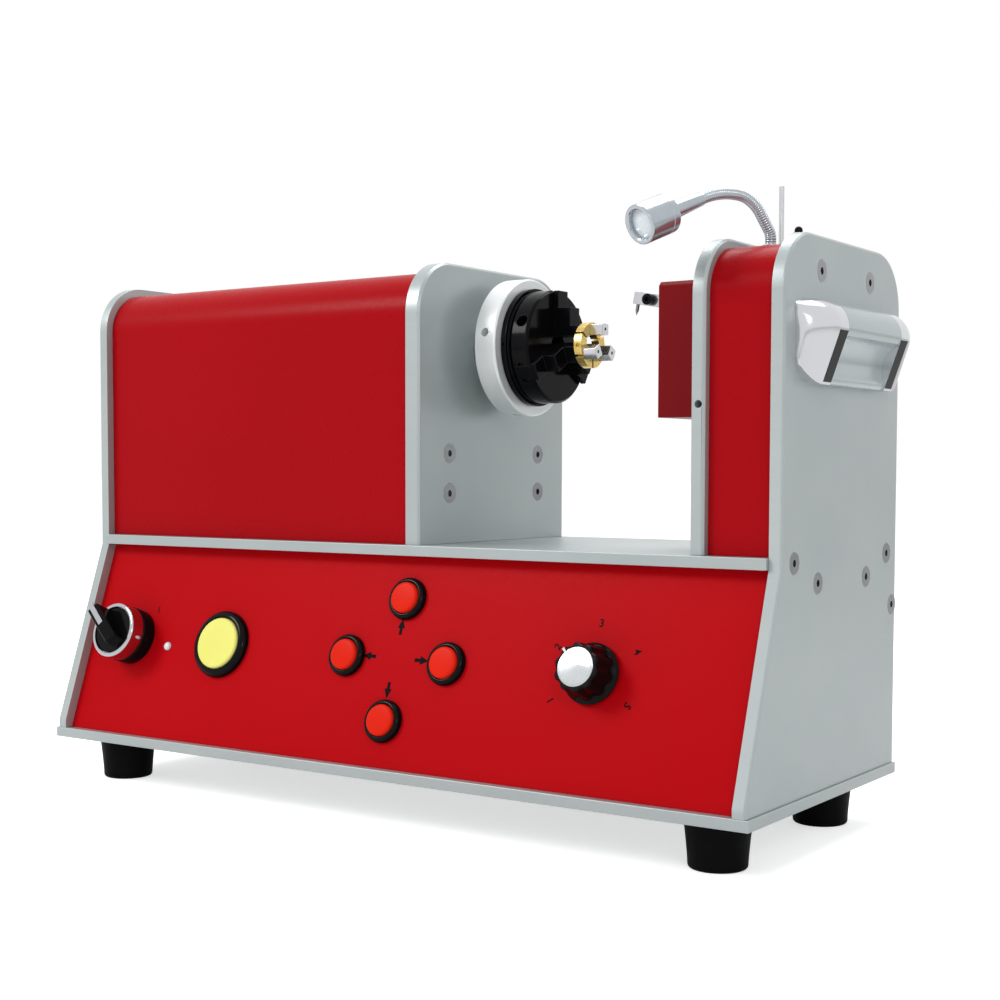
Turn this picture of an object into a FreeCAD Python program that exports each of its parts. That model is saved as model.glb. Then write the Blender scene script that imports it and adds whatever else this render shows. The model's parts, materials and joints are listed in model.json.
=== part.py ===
import FreeCAD, Part
import math
import os
from FreeCAD import Vector

# Benchtop ring engraving machine, millimetres, +Z up, +X to the operator's right.
# The origin is on the surface that the feet stand on, under the middle of the base.

# Frame
base_length = 400.0
base_depth = 156.0
base_thickness = 5.0
foot_height = 22.0
foot_top_radius = 15.0
foot_tip_radius = 12.5
foot_recess_radius = 7.5
foot_recess_depth = 9.0
foot_inset = 26.0
end_plate_thickness = 6.0
end_plate_inset = 1.2
frame_height = 233.0
toe_height = 4.0
knee_setback = 31.0
plate_corner_radius = 25.0
plate_edge_chamfer = 1.1
bay_height = 95.5
deck_thickness = 5.0
deck_overhang = 2.2
headstock_bay_length = 201.0
headstock_plate_thickness = 8.0
tailstock_bay_length = 29.4
tailstock_plate_thickness = 6.0
cover_inset = 4.0
cover_wall = 2.0
panel_recess = 5.0
panel_thickness = 3.0
rear_panel_thickness = 2.5
rear_panel_recess = 3.0
rear_tab_length = 12.0
rear_tab_height = 14.0
rear_tab_depth = 8.0
vent_count = 9
vent_width = 3.0
vent_height = 26.0
vent_pitch = 8.0

# Countersunk socket screws, M5
screw_radius = 2.5
screw_head_radius = 4.7
screw_head_depth = 2.6
screw_length = 12.0
screw_hole_clearance = 0.1
socket_across_flats = 3.0
socket_depth = 1.8
deck_screw_spread = 50.5
rail_screw_spread = 26.4
rail_screw_drop = 7.0
top_screw_drop = 14.6
rear_screw_inset = 4.8
rear_screw_drop = 21.5
headstock_screw_spread = 38.2
headstock_screw_low = 23.8
headstock_screw_pitch = 19.0

# Carry handles
handle_length = 59.5
handle_height = 35.0
handle_top_drop = 27.0
handle_projection = 13.5
handle_lip_drop = 12.5
handle_foot_projection = 5.5
handle_lip_thickness = 2.4
handle_recess_depth = 8.5
handle_cheek_width = 6.5
handle_cap_width = 16.5

# Spindle and scroll chuck
spindle_height = 94.0
housing_length = 60.0
housing_radius = 30.0
housing_foot_width = 92.0
housing_foot_height = 50.0
bearing_outer_radius = 18.5
bearing_inner_radius = 10.0
bearing_width = 9.0
running_clearance = 0.05
flange_gap = 9.9
flange_radius = 33.0
flange_thickness = 12.0
flange_hole_radius = 2.0
spindle_bore_radius = 5.0
spindle_tail_length = 14.0
chuck_radius = 27.0
chuck_thickness = 14.3
chuck_bore_radius = 6.0
chuck_hub_radius = 14.0
chuck_edge_chamfer = 1.2
scroll_thickness = 3.4
scroll_rim_radius = 28.2
scroll_rim_width = 2.6
scroll_neck_radius = 26.4
scroll_hole_count = 3
scroll_hole_radius = 0.8
scroll_hole_depth = 4.0
scroll_rib_height = 1.4
scroll_rib_width = 1.2
scroll_pitch = 3.2
scroll_turns = 3
scroll_inner_radius = 15.0
tommy_hole_radius = 2.9
tommy_hole_depth = 7.0
moving_gap = 0.3
jaw_width = 8.4
jaw_neck_width = 6.4
jaw_tee_width = 10.0
jaw_tee_height = 2.9
jaw_tee_rise = 2.6
jaw_slot_clearance = 0.15
jaw_inner_radius = 4.5
jaw_outer_radius = 26.4
jaw_middle_radius = 18.2
jaw_nose_radius = 9.4
jaw_low_step = 2.8
jaw_middle_step = 9.4
jaw_high_step = 15.5
pad_outer_radius = 10.8
pad_inner_radius = 5.6
pad_thickness = 4.1
pad_gap = 1.0
pad_slot_width = 1.2
pad_slot_radius = 8.6
pad_screw_radius = 0.9
pad_screw_depth = 1.4
pad_screw_deg = 27.0
finger_inner_radius = 4.6
finger_outer_radius = 9.9
finger_width = 5.6
finger_length = 6.8
finger_stem_width = 3.0
finger_tip_hole_radius = 0.8
finger_tip_hole_depth = 1.6
tommy_hole_deg = 66.0

# Spindle motor
motor_size = 57.0
motor_length = 56.0
motor_face_gap = 24.0
motor_pilot_radius = 19.0
motor_pilot_height = 1.6
coupling_radius = 12.5
motor_shaft_radius = 3.175
bracket_thickness = 5.0
bracket_foot_length = 40.0

# Head lift in the tailstock
rod_radius = 4.0
rod_spread = 26.4
lift_bracket_depth = 78.0
lift_bracket_length = 21.8
lift_bracket_height = 12.0
lower_bracket_height = 13.0
lift_motor_size = 28.0
lift_motor_height = 32.0
lift_screw_radius = 4.0
lift_travel_down = 2.0
lift_travel_up = 12.0
carriage_depth = 75.0
carriage_height = 30.0
carriage_drop = 25.5
neck_width = 22.0
neck_height = 22.0
slot_clearance = 0.6
slot_corner_radius = 1.5
set_screw_hole_radius = 1.6
set_screw_hole_depth = 10.0
set_screw_height = 62.5
height_rod_radius = 1.15
height_rod_top = 30.7
height_rod_offset = 4.6

# Engraving head
head_length = 35.4
head_plate_gap = 3.8
head_width = 40.0
head_height = 60.5
head_top_over_axis = 25.1
head_cover_wall = 1.5
head_edge_chamfer = 1.8
head_window_width = 12.0
head_window_height = 19.2
head_window_drop = 2.0
ram_size = 10.0
ram_over_axis = 4.6
ram_length = 30.0
ram_slide_clearance = 0.08
feed_travel = 22.0
pinion_teeth = 20
pinion_module = 0.5
pinion_width = 6.0
feed_motor_radius = 7.5
feed_shaft_radius = 1.5
arm_tilt_deg = 10.3
arm_reach = 38.9
arm_width = 5.2
arm_height = 5.8
arm_pivot_over_axis = 14.0
arm_pivot_radius = 1.5
arm_tongue_width = 2.4
arm_tongue_gap = 0.3
bit_radius = 0.8
bit_setback = 1.5
bit_drop = 8.2
clamp_screw_radius = 2.6
clamp_screw_height = 3.0
clamp_screw_setback = 8.7

# Control panel
control_row = 48.0
selector_x = -162.0
selector_radius = 14.45
selector_collar_height = 8.0
selector_ring_height = 16.0
selector_lever_height = 25.0
selector_lever_width = 7.0
selector_rest_deg = 135.0
selector_shaft_radius = 3.0
selector_shaft_length = 10.0
contact_block_size = 28.0
contact_block_depth = 30.0
panel_thread_radius = 11.0
start_x = -98.9
start_bezel_radius = 17.0
start_cap_radius = 12.9
start_bezel_height = 3.9
start_cap_height = 5.0
start_stroke = 2.5
button_gap = 0.3
arrow_cluster_x = 11.4
arrow_spread = 29.0
arrow_bezel_radius = 10.1
arrow_cap_radius = 7.4
arrow_bezel_height = 3.2
arrow_cap_height = 4.9
arrow_stroke = 1.8
arrow_body_depth = 20.0
start_body_depth = 26.0
light_x = -136.3
light_row = 44.7
light_radius = 1.6
knob_x = 117.0
knob_row = 49.0
knob_skirt_radius = 13.5
knob_skirt_height = 3.0
knob_body_radius = 12.0
knob_top_radius = 10.8
knob_height = 15.4
knob_cap_radius = 8.55
knob_flute_count = 10
knob_flute_radius = 2.4
knob_pointer_deg = 135.0
pot_radius = 8.2
pot_depth = 11.0
pot_bushing_radius = 3.5
pot_shaft_radius = 3.0

# Lamp on its gooseneck
lamp_root_x = 170.1
lamp_root_y = 0.2
lamp_heading_deg = 20.0
lamp_base_radius = 6.0
lamp_base_thickness = 1.0
lamp_collar_radius = 3.6
lamp_collar_height = 2.4
neck_tube_radius = 2.5
neck_bore_radius = 1.5
neck_rib_pitch = 3.0
neck_rib_depth = 0.3
neck_straight = 5.0
neck_root_bend = 6.0
neck_rise_deg = 52.0
neck_rise_length = 8.5
neck_shoulder_bend = 17.0
neck_crest_deg = 4.0
neck_crest_bend = 46.0
neck_dip_deg = 22.0
neck_dip_length = 21.1
lamp_head_radius = 8.3
lamp_head_length = 16.5
lamp_sleeve_length = 19.8
lamp_sleeve_radius = 3.9
lamp_lens_recess = 2.0
lamp_lens_radius = 6.2
lamp_button_x = 184.0
lamp_button_y = -2.0
lamp_button_radius = 1.75
lamp_button_height = 10.0
lamp_bushing_radius = 2.6
lamp_bushing_height = 7.2
lamp_bushing_depth = 3.4
lamp_button_stroke = 1.2

# Back and inside
inlet_x = -140.0
inlet_row = 75.0
inlet_width = 27.4
inlet_height = 20.0
inlet_depth = 22.0
inlet_flange_width = 48.0
inlet_flange_height = 24.0
inlet_flange_thickness = 2.5
unit_length = 150.0
unit_depth = 70.0
unit_height = 34.0
fin_count = 8
fin_thickness = 2.0
fin_height = 12.0

# Levels and faces that follow from the sizes above
base_bottom = foot_height
base_top = base_bottom + base_thickness
frame_top = base_top + frame_height
deck_bottom = base_top + bay_height
deck_top = deck_bottom + deck_thickness
front_y = -base_depth / 2
rear_y = base_depth / 2
upper_front_y = front_y + knee_setback
plate_middle_y = (upper_front_y + rear_y) / 2
left_outer_x = -base_length / 2 + end_plate_inset
right_outer_x = base_length / 2 - end_plate_inset
left_inner_x = left_outer_x + end_plate_thickness
right_inner_x = right_outer_x - end_plate_thickness
head_back_x = left_inner_x + headstock_bay_length
head_face_x = head_back_x + headstock_plate_thickness
tail_face_x = right_inner_x - tailstock_bay_length
tail_front_x = tail_face_x - tailstock_plate_thickness
cover_front_y = upper_front_y + cover_inset
cover_rear_y = rear_y - cover_inset
cover_top = frame_top - cover_inset
back_y = rear_y - rear_panel_recess
axis_z = deck_top + spindle_height
flange_back_x = head_face_x + flange_gap
chuck_back_x = flange_back_x + flange_thickness
scroll_face = moving_gap + scroll_thickness
disc_back = scroll_face + scroll_rib_height + moving_gap
lift_x = (tail_face_x + right_inner_x) / 2
head_right_x = tail_front_x - head_plate_gap
head_left_x = head_right_x - head_length
head_top = axis_z + head_top_over_axis
head_bottom = head_top - head_height
ram_bottom = axis_z + ram_over_axis
ram_top = ram_bottom + ram_size
pivot_z = axis_z + arm_pivot_over_axis
ram_back_x = tail_face_x + moving_gap
ram_front_x = ram_back_x - ram_length
pivot_x = ram_front_x

# Local frame of the sloping panel: along it to the right, up its slope, and out of its face
slope_start = Vector(0, front_y, base_top + toe_height)
slope_end = Vector(0, upper_front_y, deck_bottom)
slope_up = (slope_end - slope_start).normalize()
slope_out = Vector(0, -slope_up.z, slope_up.y)
panel_origin = slope_start - slope_out * panel_recess


def export(shape, node):
    shape.exportStep("parts/" + node + ".step")


def group(shapes):
    return Part.makeCompound(shapes)


def block(x0, x1, y0, y1, z0, z1):
    return Part.makeBox(x1 - x0, y1 - y0, z1 - z0, Vector(x0, y0, z0))


def joined(first, *others):
    return first.fuse(list(others)).removeSplitter()


def mirrored_x(shape):
    return shape.mirror(Vector(0, 0, 0), Vector(1, 0, 0))


def rounded_face(corners):
    # A flat outline with an arc at each corner that has a radius.
    points = [corner[0] for corner in corners]
    radii = [corner[1] for corner in corners]
    count = len(corners)
    starts = []
    ends = []
    middles = []
    for index in range(count):
        corner = points[index]
        back = (points[index - 1] - corner).normalize()
        ahead = (points[(index + 1) % count] - corner).normalize()
        radius = radii[index]
        half = back.getAngle(ahead) / 2
        reach = radius / math.tan(half)
        starts.append(corner + back * reach)
        ends.append(corner + ahead * reach)
        centre = corner + (back + ahead).normalize() * (radius / math.sin(half))
        middles.append(centre + (corner - centre).normalize() * radius if radius else corner)
    edges = []
    for index in range(count):
        if radii[index]:
            arc = Part.Arc(starts[index], middles[index], ends[index])
            edges.append(arc.toShape())
        following = starts[(index + 1) % count]
        edges.append(Part.LineSegment(ends[index], following).toShape())
    return Part.Face(Part.Wire(edges))


def turned(profile):
    # Turns a closed list of (radius, height) points about the local Z axis.
    points = [Vector(radius, 0, height) for radius, height in profile]
    face = Part.Face(Part.makePolygon(points + [points[0]]))
    return face.revolve(Vector(0, 0, 0), Vector(0, 0, 1), 360)


def on_panel(shape, along, up):
    # Moves a piece built on local Z to a place on the sloping panel.
    spot = panel_origin + slope_up * up + Vector(along, 0, 0)
    matrix = FreeCAD.Matrix(
        1, 0, 0, spot.x,
        0, slope_up.y, slope_out.y, spot.y,
        0, slope_up.z, slope_out.z, spot.z,
        0, 0, 0, 1,
    )
    placed = shape.copy()
    placed.Placement = FreeCAD.Placement(matrix).multiply(shape.Placement)
    return placed


def on_spindle(shape, x):
    # Moves a piece built on local Z to the spindle axis: local X becomes Y, local Y becomes Z.
    matrix = FreeCAD.Matrix(
        0, 0, 1, x,
        1, 0, 0, plate_middle_y,
        0, 1, 0, axis_z,
        0, 0, 0, 1,
    )
    placed = shape.copy()
    placed.Placement = FreeCAD.Placement(matrix).multiply(shape.Placement)
    return placed


def spun(shape, degrees):
    turned_copy = shape.copy()
    turned_copy.rotate(Vector(0, 0, 0), Vector(0, 0, 1), degrees)
    return turned_copy


def screw(tip, direction, length=screw_length):
    # A countersunk screw whose head is flush at the given point and whose shank runs along direction.
    shank = Part.makeCylinder(screw_radius, length, tip, direction)
    head = Part.makeCone(screw_head_radius, screw_radius, screw_head_depth, tip, direction)
    socket_radius = socket_across_flats / math.sqrt(3)
    corners = []
    side = direction.cross(Vector(0, 0, 1))
    if side.Length < 0.5:
        side = Vector(1, 0, 0)
    other = direction.cross(side)
    for corner in range(6):
        angle = math.radians(60 * corner)
        corners.append(tip + side * socket_radius * math.cos(angle) + other * socket_radius * math.sin(angle))
    socket = Part.Face(Part.makePolygon(corners + [corners[0]])).extrude(direction * socket_depth)
    return shank.fuse(head).cut(socket)


def screw_hole(tip, direction, length=screw_length):
    clear = screw_hole_clearance
    shank = Part.makeCylinder(screw_radius + clear, length, tip, direction)
    head = Part.makeCone(screw_head_radius + clear, screw_radius + clear, screw_head_depth, tip, direction)
    return shank.fuse(head)


def end_plate_screw_places():
    # Places in the end plates, as (y, z): two at the top, four at the deck and one low at the back.
    rail_z = deck_bottom - rail_screw_drop
    deck_z = deck_bottom + deck_thickness / 2
    places = []
    for side in (-1, 1):
        places.append((plate_middle_y + side * rail_screw_spread, frame_top - top_screw_drop))
        places.append((plate_middle_y + side * deck_screw_spread, deck_z))
        places.append((plate_middle_y + side * rail_screw_spread, rail_z))
    places.append((rear_y - rear_screw_inset, deck_bottom - rear_screw_drop))
    return places


def headstock_screw_places():
    places = []
    for side in (-1, 1):
        for row in (0, 1):
            level = deck_top + headstock_screw_low + row * headstock_screw_pitch
            places.append((plate_middle_y + side * headstock_screw_spread, level))
    return places


def foot_places():
    places = []
    for side in (-1, 1):
        for end in (-1, 1):
            place = Vector(side * (base_length / 2 - foot_inset), end * (base_depth / 2 - foot_inset), 0)
            places.append(place)
    return places


def chamfered(shape, face_x, lowest):
    # Bevels the edges of the face at face_x, apart from the one that stands on something.
    edges = []
    for edge in shape.Edges:
        box = edge.BoundBox
        on_face = abs(box.XMin - face_x) < 0.01 and abs(box.XMax - face_x) < 0.01
        if on_face and box.ZMax > lowest + 0.01:
            edges.append(edge)
    return shape.makeChamfer(plate_edge_chamfer, edges)


def upper_plate(x, thickness):
    # Outline of the plates that stand on the deck.
    face = rounded_face([
        (Vector(x, upper_front_y, deck_top), 0),
        (Vector(x, upper_front_y, frame_top), plate_corner_radius),
        (Vector(x, rear_y, frame_top), plate_corner_radius),
        (Vector(x, rear_y, deck_top), 0),
    ])
    return face.extrude(Vector(thickness, 0, 0))


def end_plate():
    # The right end plate; the left one is its mirror image.
    face = rounded_face([
        (Vector(right_inner_x, front_y, base_top), 0),
        (Vector(right_inner_x, front_y, base_top + toe_height), 0),
        (Vector(right_inner_x, upper_front_y, deck_bottom), 0),
        (Vector(right_inner_x, upper_front_y, frame_top), plate_corner_radius),
        (Vector(right_inner_x, rear_y, frame_top), plate_corner_radius),
        (Vector(right_inner_x, rear_y, base_top), 0),
    ])
    plate = face.extrude(Vector(end_plate_thickness, 0, 0))
    plate = chamfered(plate, right_outer_x, base_top)
    holes = [screw_hole(Vector(right_outer_x, y, z), Vector(-1, 0, 0)) for y, z in end_plate_screw_places()]
    return plate.cut(holes)


def make_frame():
    base = block(-base_length / 2, base_length / 2, front_y, rear_y, base_bottom, base_top)
    foot_profile = [
        (screw_radius + screw_hole_clearance, foot_recess_depth),
        (foot_recess_radius, foot_recess_depth),
        (foot_recess_radius, 0),
        (foot_tip_radius, 0),
        (foot_top_radius, foot_height),
        (screw_radius + screw_hole_clearance, foot_height),
    ]
    feet = []
    screws = []
    up = Vector(0, 0, 1)
    foot_screw_length = base_top - foot_recess_depth - 0.5
    for place in foot_places():
        foot = turned(foot_profile)
        foot.translate(place)
        seat = place + Vector(0, 0, foot_recess_depth)
        sink = Part.makeCone(
            screw_head_radius + screw_hole_clearance,
            screw_radius + screw_hole_clearance,
            screw_head_depth, seat, up,
        )
        feet.append(foot.cut(sink))
        base = base.cut(Part.makeCylinder(screw_radius + screw_hole_clearance, base_top, place, up))
        screws.append(screw(seat, up, foot_screw_length))
    right_plate = end_plate()
    left_plate = mirrored_x(right_plate)
    deck = block(left_inner_x, right_inner_x, upper_front_y - deck_overhang, rear_y, deck_bottom, deck_top)
    for y, z in end_plate_screw_places():
        right_screw = screw(Vector(right_outer_x, y, z), Vector(-1, 0, 0))
        right_hole = screw_hole(Vector(right_outer_x, y, z), Vector(-1, 0, 0))
        screws.append(right_screw)
        screws.append(mirrored_x(right_screw))
        deck = deck.cut([right_hole, mirrored_x(right_hole)])
    for side in (-1, 1):
        rod_place = Vector(lift_x, plate_middle_y + side * rod_spread, deck_bottom)
        deck = deck.cut(Part.makeCylinder(rod_radius, deck_thickness, rod_place))
    for y, z in headstock_screw_places():
        screws.append(screw(Vector(head_face_x, y, z), Vector(-1, 0, 0)))
    export(base, "base_plate")
    export(group(feet), "rubber_feet")
    export(group(screws), "frame_screws")
    export(right_plate, "right_end_plate")
    export(left_plate, "left_end_plate")
    export(deck, "deck_plate")


def make_upper_plates():
    head = chamfered(upper_plate(head_back_x, headstock_plate_thickness), head_face_x, deck_top)
    nose = Part.makeCylinder(
        bearing_outer_radius + moving_gap, headstock_plate_thickness,
        Vector(head_back_x, plate_middle_y, axis_z), Vector(1, 0, 0),
    )
    holes = [screw_hole(Vector(head_face_x, y, z), Vector(-1, 0, 0)) for y, z in headstock_screw_places()]
    export(head.cut([nose] + holes), "headstock_plate")
    tail = chamfered(upper_plate(tail_front_x, tailstock_plate_thickness), tail_face_x, deck_top)
    slot_half = neck_width / 2 + slot_clearance
    slot_low = ram_bottom - moving_gap - neck_height - lift_travel_down - slot_clearance
    slot_high = ram_top + lift_travel_up + slot_clearance + slot_corner_radius
    slot = rounded_face([
        (Vector(tail_front_x, plate_middle_y - slot_half, slot_low), slot_corner_radius),
        (Vector(tail_front_x, plate_middle_y + slot_half, slot_low), slot_corner_radius),
        (Vector(tail_front_x, plate_middle_y + slot_half, slot_high), slot_corner_radius),
        (Vector(tail_front_x, plate_middle_y - slot_half, slot_high), slot_corner_radius),
    ]).extrude(Vector(tailstock_plate_thickness, 0, 0))
    edge_hole = Part.makeCylinder(
        set_screw_hole_radius, set_screw_hole_depth,
        Vector(tail_front_x + tailstock_plate_thickness / 2, upper_front_y, deck_top + set_screw_height),
        Vector(0, 1, 0),
    )
    export(tail.cut([slot, edge_hole]), "tailstock_plate")


def cover_shell(x0, x1):
    # A folded cover, open below and at both ends.
    corner = plate_corner_radius - cover_inset
    outer = rounded_face([
        (Vector(x0, cover_front_y, deck_top), 0),
        (Vector(x0, cover_front_y, cover_top), corner),
        (Vector(x0, cover_rear_y, cover_top), corner),
        (Vector(x0, cover_rear_y, deck_top), 0),
    ]).extrude(Vector(x1 - x0, 0, 0))
    inner = rounded_face([
        (Vector(x0, cover_front_y + cover_wall, deck_top), 0),
        (Vector(x0, cover_front_y + cover_wall, cover_top - cover_wall), corner - cover_wall),
        (Vector(x0, cover_rear_y - cover_wall, cover_top - cover_wall), corner - cover_wall),
        (Vector(x0, cover_rear_y - cover_wall, deck_top), 0),
    ]).extrude(Vector(x1 - x0, 0, 0))
    return outer.cut(inner)


def make_covers():
    export(cover_shell(left_inner_x, head_back_x), "headstock_cover")
    tail = cover_shell(tail_face_x, right_inner_x)
    below_top = cover_top - 2 * cover_wall
    rod_hole = Part.makeCylinder(
        height_rod_radius + moving_gap, 4 * cover_wall,
        Vector(tail_face_x + height_rod_offset, plate_middle_y, below_top),
    )
    lead_hole = Part.makeCylinder(
        neck_bore_radius, 4 * cover_wall, Vector(lamp_root_x, lamp_root_y, below_top),
    )
    button_hole = Part.makeCylinder(
        lamp_bushing_radius, 4 * cover_wall, Vector(lamp_button_x, lamp_button_y, below_top),
    )
    export(tail.cut([rod_hole, lead_hole, button_hole]), "tailstock_cover")


def panel_slab(depth_out, depth_in):
    # The sloping sheet between the base and the deck, cut level at both.
    def at_level(level, depth):
        foot = panel_origin + slope_out * depth
        along = (level - foot.z) / slope_up.z
        point = foot + slope_up * along
        return Vector(left_inner_x, point.y, level)
    corners = [
        at_level(base_top, depth_out),
        at_level(deck_bottom, depth_out),
        at_level(deck_bottom, depth_in),
        at_level(base_top, depth_in),
    ]
    face = Part.Face(Part.makePolygon(corners + [corners[0]]))
    return face.extrude(Vector(right_inner_x - left_inner_x, 0, 0))


def arrow_button_places():
    # Node name, place along the panel and place up it.
    return [
        ("arrow_up_button", arrow_cluster_x, control_row + arrow_spread),
        ("arrow_down_button", arrow_cluster_x, control_row - arrow_spread),
        ("arrow_left_button", arrow_cluster_x - arrow_spread, control_row),
        ("arrow_right_button", arrow_cluster_x + arrow_spread, control_row),
    ]


def make_panels():
    panel = panel_slab(0, -panel_thickness)
    through = [
        (panel_thread_radius, selector_x, control_row),
        (start_cap_radius + button_gap + 1, start_x, control_row),
        (light_radius, light_x, light_row),
        (pot_bushing_radius, knob_x, knob_row),
    ]
    for name, along, up in arrow_button_places():
        through.append((arrow_cap_radius + button_gap + 0.8, along, up))
    for radius, along, up in through:
        drill = Part.makeCylinder(radius, 4 * panel_thickness, Vector(0, 0, -2 * panel_thickness))
        panel = panel.cut(on_panel(drill, along, up))
    export(panel, "control_panel")
    rear = block(left_inner_x, right_inner_x, back_y - rear_panel_thickness, back_y, base_top, deck_bottom)
    cuts = [block(
        inlet_x - inlet_width / 2, inlet_x + inlet_width / 2,
        back_y - 2 * rear_panel_thickness, back_y + 1,
        inlet_row - inlet_height / 2, inlet_row + inlet_height / 2,
    )]
    vent_bottom = (base_top + deck_bottom - vent_height) / 2
    for index in range(vent_count):
        x = (index - (vent_count - 1) / 2) * vent_pitch
        cuts.append(block(
            x - vent_width / 2, x + vent_width / 2,
            back_y - 2 * rear_panel_thickness, back_y + 1,
            vent_bottom, vent_bottom + vent_height,
        ))
    tab_z = deck_bottom - rear_screw_drop
    tab = block(
        right_inner_x - rear_tab_length, right_inner_x, back_y - rear_tab_depth, back_y,
        tab_z - rear_tab_height / 2, tab_z + rear_tab_height / 2,
    )
    for y, z in end_plate_screw_places():
        hole = screw_hole(Vector(right_outer_x, y, z), Vector(-1, 0, 0))
        cuts += [hole, mirrored_x(hole)]
    export(joined(rear, tab, mirrored_x(tab)).cut(cuts), "rear_panel")
    outer = block(
        inlet_x - inlet_flange_width / 2, inlet_x + inlet_flange_width / 2,
        back_y, back_y + inlet_flange_thickness,
        inlet_row - inlet_flange_height / 2, inlet_row + inlet_flange_height / 2,
    )
    body = block(
        inlet_x - inlet_width / 2, inlet_x + inlet_width / 2,
        back_y - inlet_depth, back_y,
        inlet_row - inlet_height / 2, inlet_row + inlet_height / 2,
    )
    wall = 2.0
    recess = block(
        inlet_x - inlet_width / 2 + wall, inlet_x + inlet_width / 2 - wall,
        back_y - inlet_depth + 5, back_y + inlet_flange_thickness,
        inlet_row - inlet_height / 2 + wall, inlet_row + inlet_height / 2 - wall,
    )
    pins = []
    for offset, lift in ((-7, -1.5), (0, 2.5), (7, -1.5)):
        pins.append(block(
            inlet_x + offset - 1, inlet_x + offset + 1,
            back_y - inlet_depth + 4, back_y - 2,
            inlet_row + lift - 2.5, inlet_row + lift + 2.5,
        ))
    export(joined(joined(outer, body).cut(recess), *pins), "power_inlet")


def handle_top(x, y, top, projection, lip):
    # Edges of the rounded upper side, from the plate out to the lip.
    bulge = Vector(x + projection * 0.78, y, top - (top - lip) * 0.32)
    return Part.Arc(Vector(x, y, top), bulge, Vector(x + projection, y, lip)).toShape()


def handle_section(y, scale, foot_scale):
    # Outline of the cap where it is filled right across, shrunk towards the plate by scale.
    x = right_outer_x
    top = frame_top - handle_top_drop
    bottom = top - handle_height
    shrink = (1 - foot_scale) * handle_height * 0.5
    upper = top - shrink * 0.35
    lower = bottom + shrink
    lip = top - handle_lip_drop - shrink * 0.5
    out = handle_projection * scale
    foot = handle_foot_projection * scale
    edges = [
        handle_top(x, y, upper, out, lip),
        Part.LineSegment(Vector(x + out, y, lip), Vector(x + foot, y, lower)).toShape(),
        Part.LineSegment(Vector(x + foot, y, lower), Vector(x, y, lower)).toShape(),
        Part.LineSegment(Vector(x, y, lower), Vector(x, y, upper)).toShape(),
    ]
    return Part.Wire(edges)


def make_handles():
    x = right_outer_x
    top = frame_top - handle_top_drop
    bottom = top - handle_height
    lip = top - handle_lip_drop
    y0 = plate_middle_y - handle_length / 2
    out = Vector(x + handle_projection, y0, lip)
    under = Vector(x + handle_projection - handle_lip_thickness * 0.5, y0, lip - handle_lip_thickness)
    deep = Vector(x + handle_projection - handle_recess_depth, y0, lip - 9.5)
    toe = Vector(x + handle_foot_projection, y0, bottom + 3)
    sole = Vector(x + handle_foot_projection * 0.85, y0, bottom + 0.6)
    heel = Vector(x + 2.5, y0, bottom)
    edges = [
        handle_top(x, y0, top, handle_projection, lip),
        Part.LineSegment(out, under).toShape(),
        Part.Arc(under, deep, toe).toShape(),
        Part.Arc(toe, sole, heel).toShape(),
        Part.LineSegment(heel, Vector(x, y0, bottom)).toShape(),
        Part.LineSegment(Vector(x, y0, bottom), Vector(x, y0, top)).toShape(),
    ]
    grip = Part.Face(Part.Wire(edges)).extrude(Vector(0, handle_length, 0))
    caps = []
    for side in (-1, 1):
        start = plate_middle_y + side * handle_length / 2
        cheek_end = start + side * handle_cheek_width
        cheek = Part.makeLoft([handle_section(start, 1, 1), handle_section(cheek_end, 1, 1)], True, True)
        sections = []
        for step in range(6):
            share = step / 5 * 0.96
            fall = math.sqrt(1 - share ** 2)
            sections.append(
                handle_section(cheek_end + side * handle_cap_width * step / 5, fall, 0.35 + 0.65 * fall),
            )
        nose = Part.makeLoft(sections, True, False)
        caps.append(cheek.fuse(nose))
    export(group([grip, mirrored_x(grip)]), "handle_grips")
    export(group(caps + [mirrored_x(cap) for cap in caps]), "handle_caps")


def spiral_rib():
    # The scroll: one continuous rib that winds outwards by one pitch a turn.
    quarter = 90
    steps = scroll_turns * 360 // quarter

    def point(degrees, offset):
        radius = scroll_inner_radius + scroll_pitch * degrees / 360 + offset
        angle = math.radians(degrees)
        return Vector(radius * math.cos(angle), radius * math.sin(angle), 0)

    edges = []
    for offset, order in ((0, range(steps)), (scroll_rib_width, range(steps - 1, -1, -1))):
        for step in order:
            low = step * quarter
            high = low + quarter
            ends = (low, high) if offset == 0 else (high, low)
            arc = Part.Arc(point(ends[0], offset), point((low + high) / 2, offset), point(ends[1], offset))
            edges.append(arc.toShape())
        if offset == 0:
            last = steps * quarter
            edges.append(Part.LineSegment(point(last, 0), point(last, scroll_rib_width)).toShape())
    edges.append(Part.LineSegment(point(0, scroll_rib_width), point(0, 0)).toShape())
    rib = Part.Face(Part.Wire(Part.sortEdges(edges)[0])).extrude(Vector(0, 0, scroll_rib_height))
    rib.translate(Vector(0, 0, scroll_face))
    return rib


def jaw_angles():
    return [("top", 90), ("front", 210), ("rear", 330)]


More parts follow.
